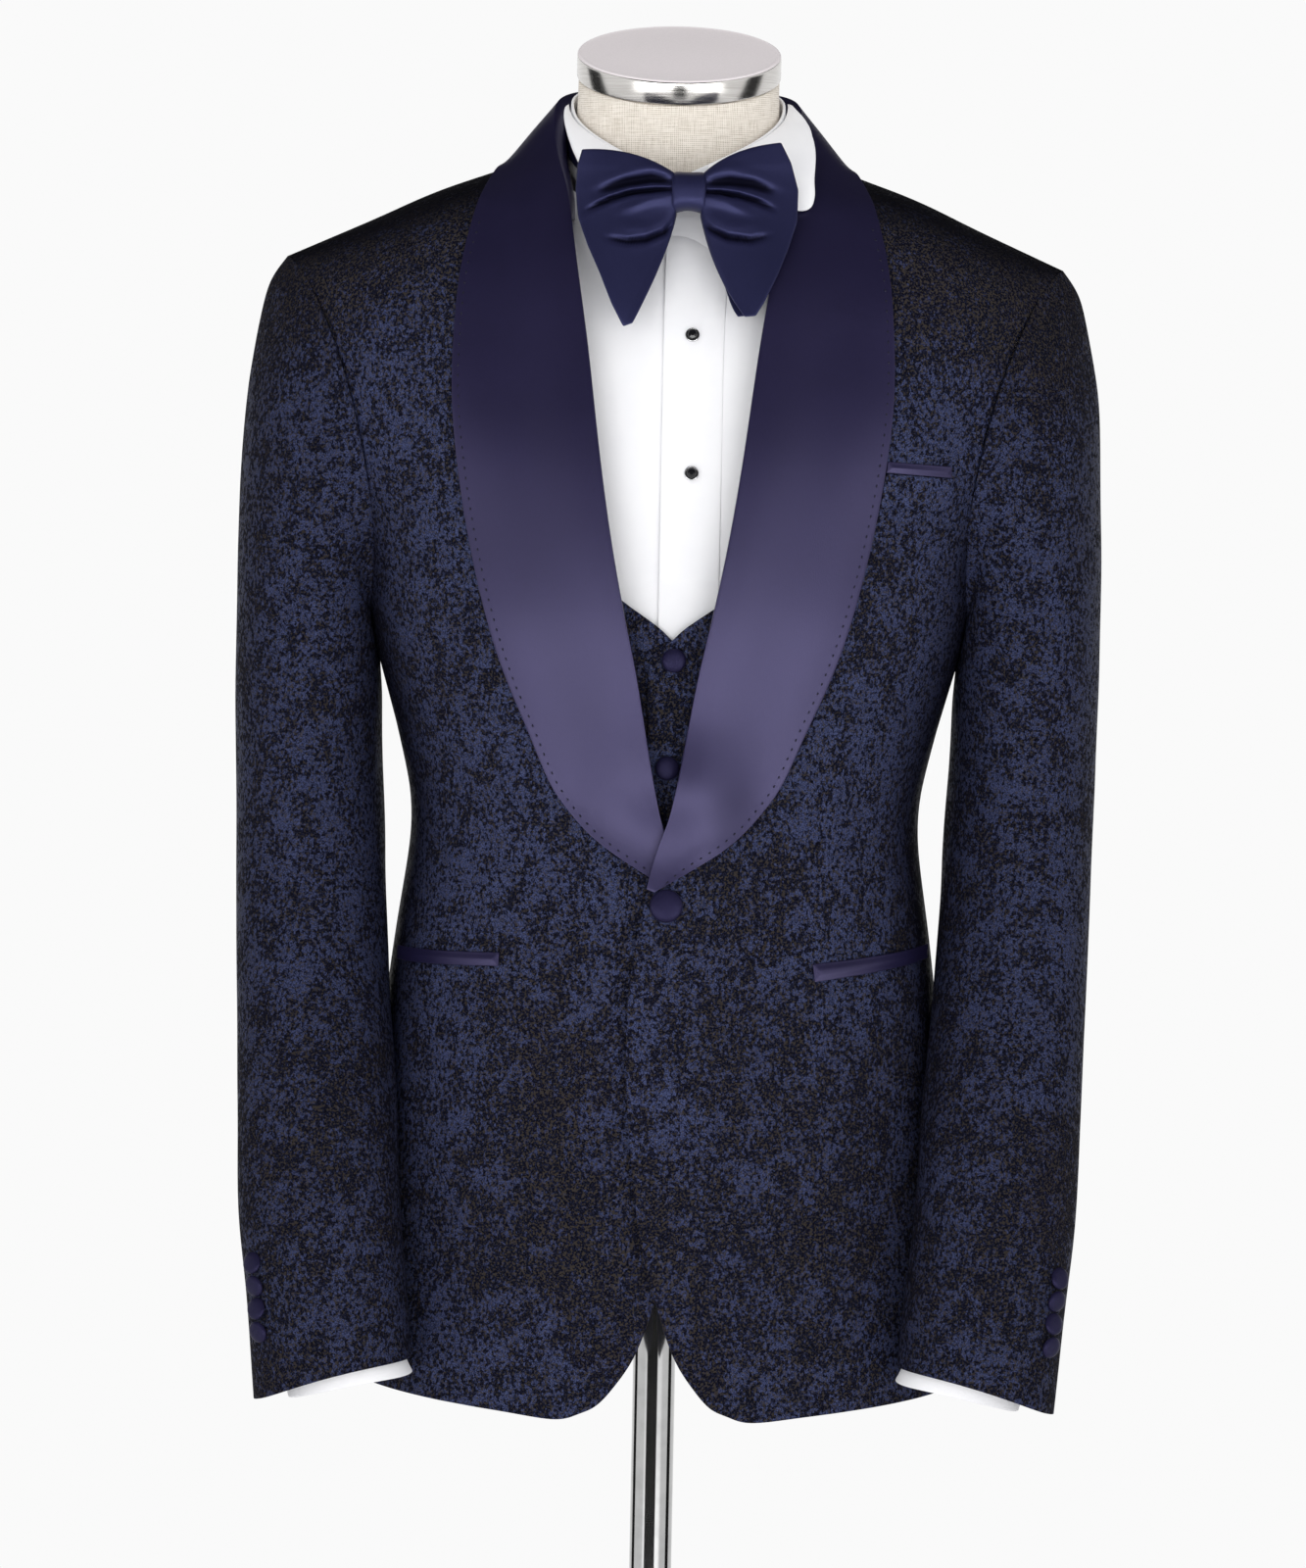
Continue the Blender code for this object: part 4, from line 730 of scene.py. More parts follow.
def seam_calm(mesh, pinned, reach):
    """0 on pinned border points, rising to 1 at a reach from them."""
    work = bmesh.new()
    work.from_mesh(mesh)
    border = [v.co.copy() for v in work.verts if v.is_boundary and pinned(v.co)]
    calm = np.ones(len(work.verts))
    if border:
        tree = kdtree.KDTree(len(border))
        for number, place in enumerate(border):
            tree.insert(place, number)
        tree.balance()
        calm = np.array([tree.find(v.co)[2] for v in work.verts]) / reach
    work.free()
    return smooth_step(calm)


def soften(piece, folds, pinned, reach=0.014, drape=0.0007, drape_scale=16.0):
    """Presses folds into a sheet and lets it swell a little between them."""
    mesh = piece.data
    points, normals = positions(mesh), vertex_normals(mesh)
    push = np.zeros(len(points))
    for face, depth, width, *line in folds:
        sees = smooth_step(0.5 + 1.6 * face * normals[:, 1])
        push += sees * fold_push(points, line, depth * MM, width * MM)
    swell = np.array([noise.noise(Vector(p) * drape_scale) for p in points])
    push -= drape * swell
    push *= seam_calm(mesh, pinned, reach)
    place_at(mesh, points - normals * push[:, None])


LIFT_TOP, LIFT_FADE = 1.405, 0.035


def lift_border(piece, on_border, reach, rise):
    """Stands a sheet's border proud of the cloth under it, as a lapped seam does."""
    mesh = piece.data
    points = positions(mesh)
    low = smooth_step((LIFT_TOP - points[:, 2]) / LIFT_FADE)
    near = (1 - seam_calm(mesh, on_border, reach)) * low
    place_at(mesh, points + vertex_normals(mesh) * (rise * near)[:, None])


def swell_out(piece, side, middle, reach, rise):
    """Swells a sheet out near one place, as cloth bunches under the arm."""
    mesh = piece.data
    points = positions(mesh)
    far = np.linalg.norm((points - np.array(middle) * (side, 1, 1)) / reach, axis=1)
    place_at(mesh, points + vertex_normals(mesh) * (rise * np.exp(-(far**2)))[:, None])


def add_wall(piece, wall, edge=0.35 * MM):
    """Gives a sheet its thickness inwards, and rounds the cut edge."""
    solid = piece.modifiers.new("wall", "SOLIDIFY")
    solid.thickness, solid.offset = wall, -1.0
    if len(piece.data.materials) > 1:
        solid.material_offset = 1
    rim = piece.modifiers.new("rim", "BEVEL")
    rim.width, rim.segments, rim.limit_method = edge, 2, "ANGLE"
    rim.angle_limit = math.radians(60)


def area_of(mesh):
    areas = np.empty(len(mesh.polygons))
    mesh.polygons.foreach_get("area", areas)
    return float(areas.sum())


SHEETS = {}
SHADE_START, SHADE_REACH = 0.24, 0.50


def write_shade(mesh, values):
    layer = mesh.attributes.new("shade", "FLOAT", "POINT")
    layer.data.foreach_set("value", np.asarray(values, np.float32))


def side_shade(mesh, everywhere, sideways):
    """Painted shade: a little everywhere, and more where the cloth turns to the side."""
    turned_away = 1 - np.abs(vertex_normals(mesh)[:, 1])
    return everywhere + sideways * smooth_step((turned_away - SHADE_START) / SHADE_REACH)


def cloth_piece(
    node, material, wall, levels, folds=(), core=trunk_core, keep=no_face, pinned=anywhere,
    drape=0.0007, bunched=None, lift=None, shade=(0.0, 0.0), lined=False,
):
    """A panel of cloth in place of its plain solid."""
    piece = from_work(node + "_cloth", outer_side(node, core, wall, keep), material)
    subdivided(piece, levels)
    soften(piece, folds, pinned, drape=drape)
    if bunched:
        swell_out(piece, *bunched)
    if lift:
        lift_border(piece, pinned, *lift)
    map_cloth(piece, core)
    write_shade(piece.data, side_shade(piece.data, *shade))
    if lined:
        piece.data.materials.append(LINING)
    SHEETS[node] = piece
    add_wall(piece, wall)
    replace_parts(piece, node)


# %% [markdown]
# ## The jacket's body
#
# Two fronts and two backs. The fronts meet the backs at the shoulder and the side, and the
# left front laps over the right one under the button. The cloth is full canvassed, so it
# hangs almost smooth, with soft pulls at the waist and a faint break below the button.

# %% Jacket fronts and backs
JACKET_WALL = 2.4 * MM
FRONT_SHADE, BACK_SHADE = (0.06, 0.80), (0.06, 0.60)
FRONT_FOLDS = {
    "left": (
        (FRONT, 1.0, 16, (0.030, 1.045), (0.075, 1.060), (0.120, 1.090)),
        (FRONT, 0.8, 14, (0.020, 1.030), (0.060, 0.990), (0.080, 0.930), (0.085, 0.860)),
    ),
    "right": (
        (FRONT, 0.9, 15, (-0.030, 1.050), (-0.080, 1.072), (-0.125, 1.110)),
        (FRONT, 0.8, 15, (-0.035, 1.020), (-0.065, 0.960), (-0.078, 0.880)),
    ),
}
BACK_FOLDS = (
    (BACK, 1.0, 16, (0.030, 1.075), (0.080, 1.060), (0.130, 1.075)),
    (BACK, 0.9, 14, (-0.025, 1.060), (-0.085, 1.080), (-0.130, 1.060)),
)


def seam_place(place):
    """Sewn borders: the side, the armhole and the shoulder, but not the hem or front edge."""
    return abs(place.x) > 0.125 or place.z > 1.40


for end in SIDES:
    cloth_piece(
        f"jacket_front_{end}", JACQUARD, JACKET_WALL, 3, FRONT_FOLDS[end],
        lined=True, pinned=seam_place, shade=FRONT_SHADE,
    )
    cloth_piece(
        f"jacket_back_{end}", JACQUARD, JACKET_WALL, 3, BACK_FOLDS, lined=True, shade=BACK_SHADE
    )

# %% [markdown]
# ## The sleeves
#
# A sleeve is a bent tube set into the armhole. It breaks softly at the elbow and bunches
# under the arm, and its top edge stands proud of the body as a lapped seam does.

# %% Sleeves
SLEEVE_WALL = 1.8 * MM
SLEEVE_SHADE, SLEEVE_LIFT = (0.22, 0.20), (0.010, 0.0026)
# The bunched cloth: its middle, how far it reaches and how far it stands out.
BUNCHED = ((0.1840, 0.000, 1.192), (0.030, 0.050, 0.040), 0.0080)
SLEEVE_FOLDS = {
    "left": ((FRONT, 1.6, 14, (0.165, 1.050), (0.195, 1.065), (0.225, 1.060)),),
    "right": ((FRONT, 1.5, 13, (-0.165, 1.060), (-0.195, 1.070), (-0.230, 1.050)),),
}


def sleeve_top(place):
    return place.z > 1.0


for end, side in SIDES.items():
    cloth_piece(
        f"sleeve_{end}", JACQUARD, SLEEVE_WALL, 3, SLEEVE_FOLDS[end], core=sleeve_core,
        lined=True, pinned=sleeve_top, bunched=(side, *BUNCHED), lift=SLEEVE_LIFT,
        shade=SLEEVE_SHADE,
    )

# %% [markdown]
# ## The satin lapels
#
# A shawl lapel runs in one piece from the button, round the neck, to the centre back.
# It rolls open along the front edge, so its inner edge stands proud of the shirt.

# %% Lapels
LAPEL_WALL, TIP_TOP = 1.3 * MM, 1.080


def centre_back(place):
    return abs(place.x) < 0.004


def tip_face(face):
    """The lapel narrows to its tip, where its own faces are as narrow as its rim's."""
    return face.calc_center_median().z < TIP_TOP and abs(face.normal.y) > 0.8


for end in SIDES:
    cloth_piece(
        f"lapel_{end}", SATIN, LAPEL_WALL, 3, drape=0.0003, pinned=centre_back, keep=tip_face
    )

# %% [markdown]
# Inside the fold the collar has a stand, which goes down to the neck seam. It is grown from
# the fold's own edge: first a little inwards, and then down.

# %% Collar stand
STAND_WALL, STAND_STEPS = 1.0 * MM, ((0.0065, 0.0045), (0.0015, 0.0180))
FOLD_LOW, FOLD_HIGH, FOLD_WIDE, FOLD_FADE = 1.4385, 1.479, 0.0700, 0.020
# Near the centre back the two stands stop just short of each other.
SEAM_NEAR, SEAM_GAP = 0.004, 0.0002


def on_fold(edge):
    def on(place):
        beside = abs(place.x) < FOLD_WIDE and place.y < -0.03 and place.z > FOLD_LOW
        return beside or place.z > FOLD_HIGH

    ends = [vertex.co for vertex in edge.verts]
    return edge.is_boundary and all(map(on, ends)) and any(abs(spot.x) > 0.001 for spot in ends)


def collar_stand(end):
    work = outer_side(f"lapel_{end}", trunk_core, LAPEL_WALL)
    lapel_faces = work.faces[:]
    rim = [edge for edge in work.edges if on_fold(edge)]
    for inwards, down in STAND_STEPS:
        made = bmesh.ops.extrude_edge_only(work, edges=rim)["geom"]
        for vertex in (item for item in made if isinstance(item, bmesh.types.BMVert)):
            share = float(smooth_step((vertex.co.z - FOLD_LOW) / FOLD_FADE))
            away = Vector((vertex.co.x, vertex.co.y, 0)).normalized()
            vertex.co += share * (Vector((0, 0, -down)) - away * inwards)
            if abs(vertex.co.x) < SEAM_NEAR:
                vertex.co.x = math.copysign(SEAM_GAP, vertex.co.x)
        rim = [item for item in made if isinstance(item, bmesh.types.BMEdge)]
    bmesh.ops.delete(work, geom=lapel_faces, context="FACES")
    piece = from_work(f"collar_stand_{end}", work, SATIN)
    subdivided(piece, 2)
    map_cloth(piece)
    SHEETS[f"collar_stand_{end}"] = piece
    add_wall(piece, STAND_WALL)


for end in SIDES:
    collar_stand(end)

# %% [markdown]
# ## Pockets
#
# A jet is a narrow strip of satin folded along its length, so it is a little padded. The
# breast pocket has a jet above a welt of the jacket's own cloth.

# %% Jets and welt
JET_WALL, JET_REACH = 1.2 * MM, 4.5 * MM


def strip(node, material, rise):
    """A strip of cloth, raised towards its middle as a folded strip stands."""
    cloth_piece(node, material, JET_WALL, 4, drape=0.0)
    mesh = SHEETS[node].data
    calm = seam_calm(mesh, anywhere, JET_REACH)
    place_at(mesh, positions(mesh) + vertex_normals(mesh) * (rise * calm)[:, None])


for node in ("breast_jet", "hip_jet_left", "hip_jet_right"):
    strip(node, SATIN, 0.7 * MM)
strip("breast_welt", JACQUARD, 0.3 * MM)

# %% [markdown]
# ## Covered buttons
#
# Each button is a dome covered in satin, turned as a lathe turns it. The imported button
# tells its place. Most edges meet at its top, and its points lie evenly round its axis.


# %% Buttons
def poles_of(node):
    """The middle of a turned solid's flat back, its top and its reach."""
    work = merged(node)
    _, pole = sorted(work.verts, key=lambda v: -len(v.link_edges))[:2]
    top = pole.co.copy()
    middle = sum((v.co for v in work.verts), Vector()) / len(work.verts)
    way = (top - middle).normalized()
    back = top - way * max((top - v.co).dot(way) for v in work.verts)
    reach = max((v.co - back - (v.co - back).project(way)).length for v in work.verts)
    work.free()
    return back, top, reach


def turned(profile, steps):
    """A closed solid of revolution round the Z axis from (radius, height) pairs."""
    work = bmesh.new()
    points = [work.verts.new((radius, 0, height)) for radius, height in profile]
    edges = [work.edges.new(pair) for pair in zip(points, points[1:])]
    bmesh.ops.spin(
        work, geom=points + edges, axis=(0, 0, 1), cent=(0, 0, 0),
        angle=math.tau, steps=steps, use_merge=True,
    )
    bmesh.ops.remove_doubles(work, verts=work.verts, dist=MERGE)
    bmesh.ops.recalc_face_normals(work, faces=work.faces)
    return work


def map_turned(work):
    """Writes how far round and how high each corner lies, in metres."""
    layer = work.loops.layers.uv.new("cloth")
    for face in work.faces:
        middle = face.calc_center_median()
        first = math.atan2(middle.y, middle.x)
        for loop in face.loops:
            x, y, z = loop.vert.co
            reach = math.hypot(x, y)
            turn = math.atan2(y, x)
            turn += math.tau * round((first - turn) / math.tau)
            loop[layer].uv = (turn * max(reach, 1e-5), z + reach)


def onto(work, foot, way):
    turn = Vector(way).to_track_quat("Z", "Y").to_matrix().to_4x4()
    bmesh.ops.transform(work, matrix=Matrix.Translation(foot) @ turn, verts=work.verts)


BUTTON_SHAPE = (
    (0.00, 0.00), (0.80, 0.00), (0.90, 0.08), (0.975, 0.20), (1.00, 0.36), (0.985, 0.50),
    (0.94, 0.64), (0.86, 0.76), (0.74, 0.86), (0.58, 0.935), (0.38, 0.98), (0.18, 1.0),
    (0.00, 1.005),
)
BUTTON_STEPS, BUTTON_PLEATS, PLEAT_START, PLEAT_RISE = 48, 14, 0.75, 0.018


def covered_button(node, material):
    back, top, reach = poles_of(node)
    height = (top - back).length
    work = turned([(r * reach, h * height) for r, h in BUTTON_SHAPE], BUTTON_STEPS)
    for vertex in work.verts:
        share = vertex.co.xy.length / reach
        turn = math.atan2(vertex.co.y, vertex.co.x)
        pleat = max(share - PLEAT_START, 0.0) / (1 - PLEAT_START)
        vertex.co.z += PLEAT_RISE * height * math.cos(BUTTON_PLEATS * turn) * pleat
    map_turned(work)
    onto(work, back, top - back)
    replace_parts(from_work(node + "_covered", work, material), node)


BUTTON_NODES = ["front_button", "vest_button_1", "vest_button_2"]
BUTTON_NODES += [f"cuff_button_{end}_{number}" for end in SIDES for number in (1, 2, 3, 4)]
for node in BUTTON_NODES:
    covered_button(node, BUTTON_SATIN)
print(len(BUTTON_NODES), "covered buttons")

# %% [markdown]
# ## Waistcoat and shirt
#
# The waistcoat and the shirt show in the opening only, but both are whole garments.

# %% Waistcoat and shirt
VEST_WALL, SHIRT_WALL, CUFF_WALL = 1.4 * MM, 1.0 * MM, 1.4 * MM
BAND_WALL, WING_WALL, PLACKET_WALL, RIBBON_WALL = 1.6 * MM, 1.0 * MM, 0.9 * MM, 0.9 * MM
PLACKET_FLAT, PLACKET_WIDTH, PLACKET_SINK = 0.001, 0.028, 0.0016
for part in ("front_left", "front_right", "back"):
    cloth_piece(f"vest_{part}", JACQUARD, VEST_WALL, 2, drape=0.0004)
    cloth_piece(f"shirt_{part}", COTTON, SHIRT_WALL, 2, drape=0.0003)
cloth_piece("shirt_placket", COTTON, PLACKET_WALL, 3, drape=0.0002)
placket = SHEETS["shirt_placket"].data
spots = positions(placket)
spots[:, 1] += PLACKET_SINK * smooth_step((spots[:, 0] - PLACKET_FLAT) / PLACKET_WIDTH)
place_at(placket, spots)
for end in SIDES:
    cloth_piece(f"shirt_sleeve_{end}", COTTON, SHIRT_WALL, 2, core=sleeve_core, drape=0.0004)
    cloth_piece(f"shirt_cuff_{end}", COTTON, CUFF_WALL, 3, core=sleeve_core, drape=0.0004)
    cloth_piece(f"collar_wing_{end}", COTTON, WING_WALL, 3, drape=0.0)
cloth_piece("collar_band", COTTON, BAND_WALL, 2, drape=0.0002)
cloth_piece("neck_band", BOW_SATIN, RIBBON_WALL, 2, drape=0.0)

# %% [markdown]
# The shirt's fronts end below the band. A small shaped piece closes the space between, as
# the top of the fronts does on a sewn shirt. Its lower edge laps over the fronts.

# %% Top of the shirt's fronts
NECKLINE_HALF, NECKLINE_COLUMNS, NECKLINE_ROWS = 0.047, 24, 6
# The lower edge is flat in the middle and then falls and recedes; the upper edge curves up.
LOW_Z, LOW_FLAT, LOW_FALL, HIGH_Z, HIGH_CURVE = 1.4262, 0.011, 0.26, 1.4425, 11.0
LOW_Y, NEAR_FLAT, LOW_RECEDE = -0.0731, 0.008, 0.13
BAND_REACH, BAND_DEPTH, BAND_MIDDLE, NECKLINE_WALL = 0.0640, 0.0657, -0.0040, 0.6 * MM


def neckline_piece():
    work = bmesh.new()
    bmesh.ops.create_grid(work, x_segments=NECKLINE_COLUMNS, y_segments=NECKLINE_ROWS, size=1.0)
    for vertex in work.verts:
        share = vertex.co.x
        x, up = NECKLINE_HALF * share, vertex.co.y * 0.5 + 0.5
        low_z = LOW_Z - LOW_FALL * max(abs(x) - LOW_FLAT, 0.0)
        high_z = HIGH_Z + HIGH_CURVE * x * x
        low_y = LOW_Y - LOW_RECEDE * max(abs(x) - NEAR_FLAT, 0.0)
        high_y = BAND_MIDDLE - BAND_DEPTH * math.sqrt(1 - (x / BAND_REACH) ** 2)
        vertex.co = Vector((x, low_y + (high_y - low_y) * up, low_z + (high_z - low_z) * up))
    bmesh.ops.recalc_face_normals(work, faces=work.faces)
    if sum(face.normal.y for face in work.faces) > 0:
        bmesh.ops.reverse_faces(work, faces=work.faces)
    piece = from_work("shirt_neckline", work, COTTON)
    map_cloth(piece)
    SHEETS["shirt_neckline"] = piece
    add_wall(piece, NECKLINE_WALL)


neckline_piece()

# %% [markdown]
# ## Studs
#
# A dress stud is a faceted black stone in a thin bright rim.

# %% Studs
STUD_STONE = ((0.0, 0.30), (0.88, 0.30), (0.88, 0.58), (0.66, 1.02), (0.30, 1.28), (0.0, 1.28))
STUD_RING = (
    (0.0, 0.0), (0.80, 0.0), (1.02, 0.10), (1.10, 0.34), (1.06, 0.52), (0.98, 0.62), (0.90, 0.62),
    (0.87, 0.50), (0.87, 0.24), (0.0, 0.24),
)


def stud(node):
    back, top, reach = poles_of(node)
    height = (top - back).length
    for shape, steps, part, material in (
        (STUD_RING, 40, "setting", STUD_RIM), (STUD_STONE, 8, "stone", STUD_BLACK),
    ):
        work = turned([(r * reach, h * height) for r, h in shape], steps)
        onto(work, back, top - back)
        piece = from_work(f"{node}_{part}", work, material)
        if shape is STUD_STONE:
            piece.data.shade_flat()
        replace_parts(piece, node)


for node in ("stud_upper", "stud_lower"):
    stud(node)

# %% [markdown]
# ## The bow tie
#
# A butterfly bow is a shaped band folded into two wings and gathered by the knot. So each
# wing is a flat pillow: a grid of rays from the knot to the outline, extruded back. The
# gathers are deepest at the knot. A second, flatter wing hangs behind each one.

# %% Bow tables
BOW_WINGS = {
    # side: rays as height at the knot, then a point halfway and the end, as (x, z)
    1: (
        (1.4655, 0.0330, 1.4785, 0.0590, 1.4850),
        (1.4630, 0.0370, 1.4710, 0.0650, 1.4735),
        (1.4600, 0.0385, 1.4620, 0.0694, 1.4580),
        (1.4565, 0.0380, 1.4510, 0.0690, 1.4400),
        (1.4535, 0.0360, 1.4395, 0.0640, 1.4240),
        (1.4505, 0.0335, 1.4290, 0.0585, 1.4100),
        (1.4470, 0.0295, 1.4190, 0.0510, 1.3940),
        (1.4445, 0.0260, 1.4125, 0.0462, 1.3862),
        (1.4420, 0.0240, 1.4110, 0.0400, 1.3855),
    ),
    -1: (
        (1.4655, 0.0250, 1.4768, 0.0545, 1.4790),
        (1.4630, 0.0290, 1.4690, 0.0570, 1.4700),
        (1.4600, 0.0305, 1.4600, 0.0578, 1.4560),
        (1.4565, 0.0300, 1.4500, 0.0560, 1.4400),
        (1.4535, 0.0275, 1.4400, 0.0500, 1.4240),
        (1.4505, 0.0240, 1.4300, 0.0430, 1.4090),
        (1.4470, 0.0190, 1.4200, 0.0358, 1.3915),
        (1.4445, 0.0140, 1.4140, 0.0290, 1.3788),
        (1.4420, 0.0080, 1.4155, 0.0236, 1.3808),
    ),
}
KNOT_MIDDLE, KNOT_HALF = Vector((0.0069, -0.0848, 1.4550)), Vector((0.0098, 0.0150, 0.0122))
BOW_DEPTH, BOW_DROOP, BOW_SPREAD, BOW_EDGE = -0.0905, -0.0285, 0.0050, 0.0011
BOW_COLUMNS, BOW_ROWS = 40, 76
BOW_FOLDS = {
    # side: gathers as depth and width in millimetres, then the line of (x, z) places
    1: (
        (5.0, 2.0,
            (0.0120, 1.4560), (0.0250, 1.4556), (0.0352, 1.4541),
            (0.0450, 1.4512), (0.0560, 1.4468),
        ),
        (-1.5, 4.2, (0.0125, 1.4530), (0.0280, 1.4505), (0.0440, 1.4440)),
        (3.8, 4.0, (0.0150, 1.4605), (0.0300, 1.4622), (0.0430, 1.4608), (0.0570, 1.4560)),
        (-1.0, 4.0, (0.0120, 1.4640), (0.0260, 1.4700), (0.0400, 1.4700)),
        (3.6, 2.2,
            (0.0150, 1.4390), (0.0200, 1.4345), (0.0296, 1.4303),
            (0.0424, 1.4290), (0.0540, 1.4320),
        ),
        (-0.9, 4.5, (0.0170, 1.4420), (0.0300, 1.4370), (0.0500, 1.4370)),
    ),
    -1: (
        (5.0, 2.0,
            (0.0010, 1.4572), (-0.0120, 1.4565), (-0.0254, 1.4549),
            (-0.0380, 1.4508), (-0.0520, 1.4440),
        ),
        (-1.5, 4.2, (0.0005, 1.4535), (-0.0150, 1.4510), (-0.0330, 1.4445)),
        (3.8, 4.0, (-0.0010, 1.4615), (-0.0150, 1.4630), (-0.0290, 1.4605), (-0.0460, 1.4545)),
        (-1.0, 4.0, (0.0010, 1.4645), (-0.0120, 1.4700), (-0.0280, 1.4690)),
        (3.6, 2.2,
            (-0.0020, 1.4385), (-0.0066, 1.4325), (-0.0170, 1.4283),
            (-0.0277, 1.4270), (-0.0400, 1.4290),
        ),
        (-0.9, 4.5, (-0.0040, 1.4410), (-0.0160, 1.4350), (-0.0360, 1.4350)),
    ),
}
# How far each rear wing hangs out of line with the front one at its tip, and its length.
REAR_SHIFT, REAR_LENGTH = {1: -0.0040, -1: 0.0}, {1: 1.0, -1: 0.94}


# %% Bow wings
def ray_place(side, number, way):
    """A place on a wing, by a ray's number, which may lie between two, and the way out."""
    rows = np.array(BOW_WINGS[side])
    row = [np.interp(number, range(len(rows)), rows[:, k]) for k in range(5)]
    start_x = side * KNOT_MIDDLE.x + KNOT_HALF.x - 0.0030
    start, middle, end = (start_x, row[0]), (row[1], row[2]), (row[3], row[4])
    place = []
    for k in (0, 1):
        control = 2 * middle[k] - (start[k] + end[k]) / 2
        place.append((1 - way) ** 2 * start[k] + 2 * way * (1 - way) * control + way**2 * end[k])
    x, z = place
    y = BOW_DEPTH - 0.004 * math.sin(math.pi * way)
    y += BOW_DROOP * way * float(smooth_step((1.470 - z) / 0.090))
    return Vector((side * x, y, z))


def wing_half(way, share, thick):
    """Half the wing's thickness: fullest near the knot, thin at its edges and its end."""
    lay = math.sin(math.pi * min(max(share, 0.0), 1.0))
    return BOW_EDGE + thick * max(lay, 0.0) ** 0.6 * (1 - way**3)


def bow_wing(side, thick, length=1.0, tip_shift=0.0, back=0.0):
    """A closed wing: a grid laid on the rays, extruded back to the other side."""
    work = bmesh.new()
    spot = work.verts.layers.int.new("spot")
    bmesh.ops.create_grid(work, x_segments=BOW_COLUMNS, y_segments=BOW_ROWS, size=0.5)
    rays = len(BOW_WINGS[side]) - 1
    halves = []
    for number, vertex in enumerate(work.verts):
        way, share = vertex.co.x + 0.5, vertex.co.y + 0.5
        vertex[spot] = number
        halves.append(wing_half(way, share, thick))
        place = ray_place(side, rays * share, way * length)
        near_tip = float(smooth_step((1.405 - place.z) / 0.020))
        vertex.co = place + Vector((tip_shift * near_tip, back - halves[-1], 0))
    made = bmesh.ops.extrude_face_region(work, geom=work.faces[:], use_keep_orig=True)
    for item in made["geom"]:
        if isinstance(item, bmesh.types.BMVert):
            item.co.y += 1.7 * halves[item[spot]]
    bmesh.ops.recalc_face_normals(work, faces=work.faces)
    return work


HOLLOW_SHADE, HOLLOW_START, HOLLOW_REACH = 0.95, 0.3 * MM, 1.9 * MM


def press_bow(piece, folds):
    """Presses the gathers into the front of a wing, and a little into its back."""
    mesh = piece.data
    points, normals = positions(mesh), vertex_normals(mesh)
    push = np.zeros(len(points))
    for depth, width, *line in folds:
        push += fold_push(points, line, depth * MM, width * MM)
    front = smooth_step(0.5 - normals[:, 1])
    points[:, 1] += push * front
    place_at(mesh, points)
    # Painted shade: the deeper a gather, the darker its hollow is painted.
    write_shade(mesh, HOLLOW_SHADE * front * smooth_step((push - HOLLOW_START) / HOLLOW_REACH))


def smooth_levels(piece, levels):
    finer = piece.modifiers.new("finer", "SUBSURF")
    finer.levels = finer.render_levels = levels


REAR_THICK, REAR_BACK = 0.0012, 0.0055
for end, side in SIDES.items():
    wing = from_work(f"bow_wing_{end}_front", bow_wing(side, BOW_SPREAD), BOW_SATIN)
    press_bow(wing, BOW_FOLDS[side])
    tail = bow_wing(side, REAR_THICK, REAR_LENGTH[side], REAR_SHIFT[side], REAR_BACK)
    for piece in (wing, from_work(f"bow_wing_{end}_rear", tail, BOW_SATIN)):
        map_cloth(piece)
        smooth_levels(piece, 1)
        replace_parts(piece, f"bow_wing_{end}")
        SHEETS[piece.name] = piece

# %% The knot
KNOT_SEGMENTS, KNOT_CUTS, KNOT_ARCH, KNOT_ROLL, KNOT_WAIST = 40, 14, 0.0024, 0.16, 0.05
KNOT_WALL = 1.0 * MM


def bow_knot():
    """A band wrapped round the wings: a short open tube, with rolled side edges."""
    work = bmesh.new()
    bmesh.ops.create_cone(
        work, cap_ends=False, segments=KNOT_SEGMENTS, radius1=1, radius2=1, depth=2,
        matrix=Matrix.Rotation(math.pi / 2, 4, "Y"),
    )
    long_edges = [e for e in work.edges if abs(e.verts[0].co.x - e.verts[1].co.x) > 1]
    bmesh.ops.subdivide_edges(work, edges=long_edges, cuts=KNOT_CUTS, use_grid_fill=True)
    for vertex in work.verts:
        x, y, z = vertex.co
        reach = math.hypot(y, z)
        turn = math.atan2(z, y)
        squarer = (abs(math.cos(turn)) ** 3 + abs(math.sin(turn)) ** 3) ** (-1 / 3)
        roll = 1 - KNOT_ROLL * abs(x) ** 8 + KNOT_WAIST * x * x
        y, z = y / max(reach, 1e-6), z / max(reach, 1e-6)
        y, z = y * squarer * reach * roll, z * squarer * reach * roll
        place = KNOT_MIDDLE + Vector((x * KNOT_HALF.x, y * KNOT_HALF.y, z * KNOT_HALF.z))
        if z < 0:
            place.z += KNOT_ARCH * (1 - x * x) * -z
        vertex.co = place
    bmesh.ops.recalc_face_normals(work, faces=work.faces)
    return from_work("bow_knot_band", work, BOW_SATIN)


knot = SHEETS["bow_knot"] = bow_knot()
map_cloth(knot)
smooth_levels(knot, 1)
add_wall(knot, KNOT_WALL)
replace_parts(knot, "bow_knot")
print("the knot's band measures", round(area_of(knot.data) * 1e4, 1), "square centimetres")

# %% [markdown]
# ## The form, its cap and its stand
#
# The form is a padded shell covered in linen. The cap is a turned steel disc with a fine
# bright edge, the pole a chromed tube, and the base a turned disc with a hub.

# %% Form
CREASED, CREASE = math.radians(35), 0.8


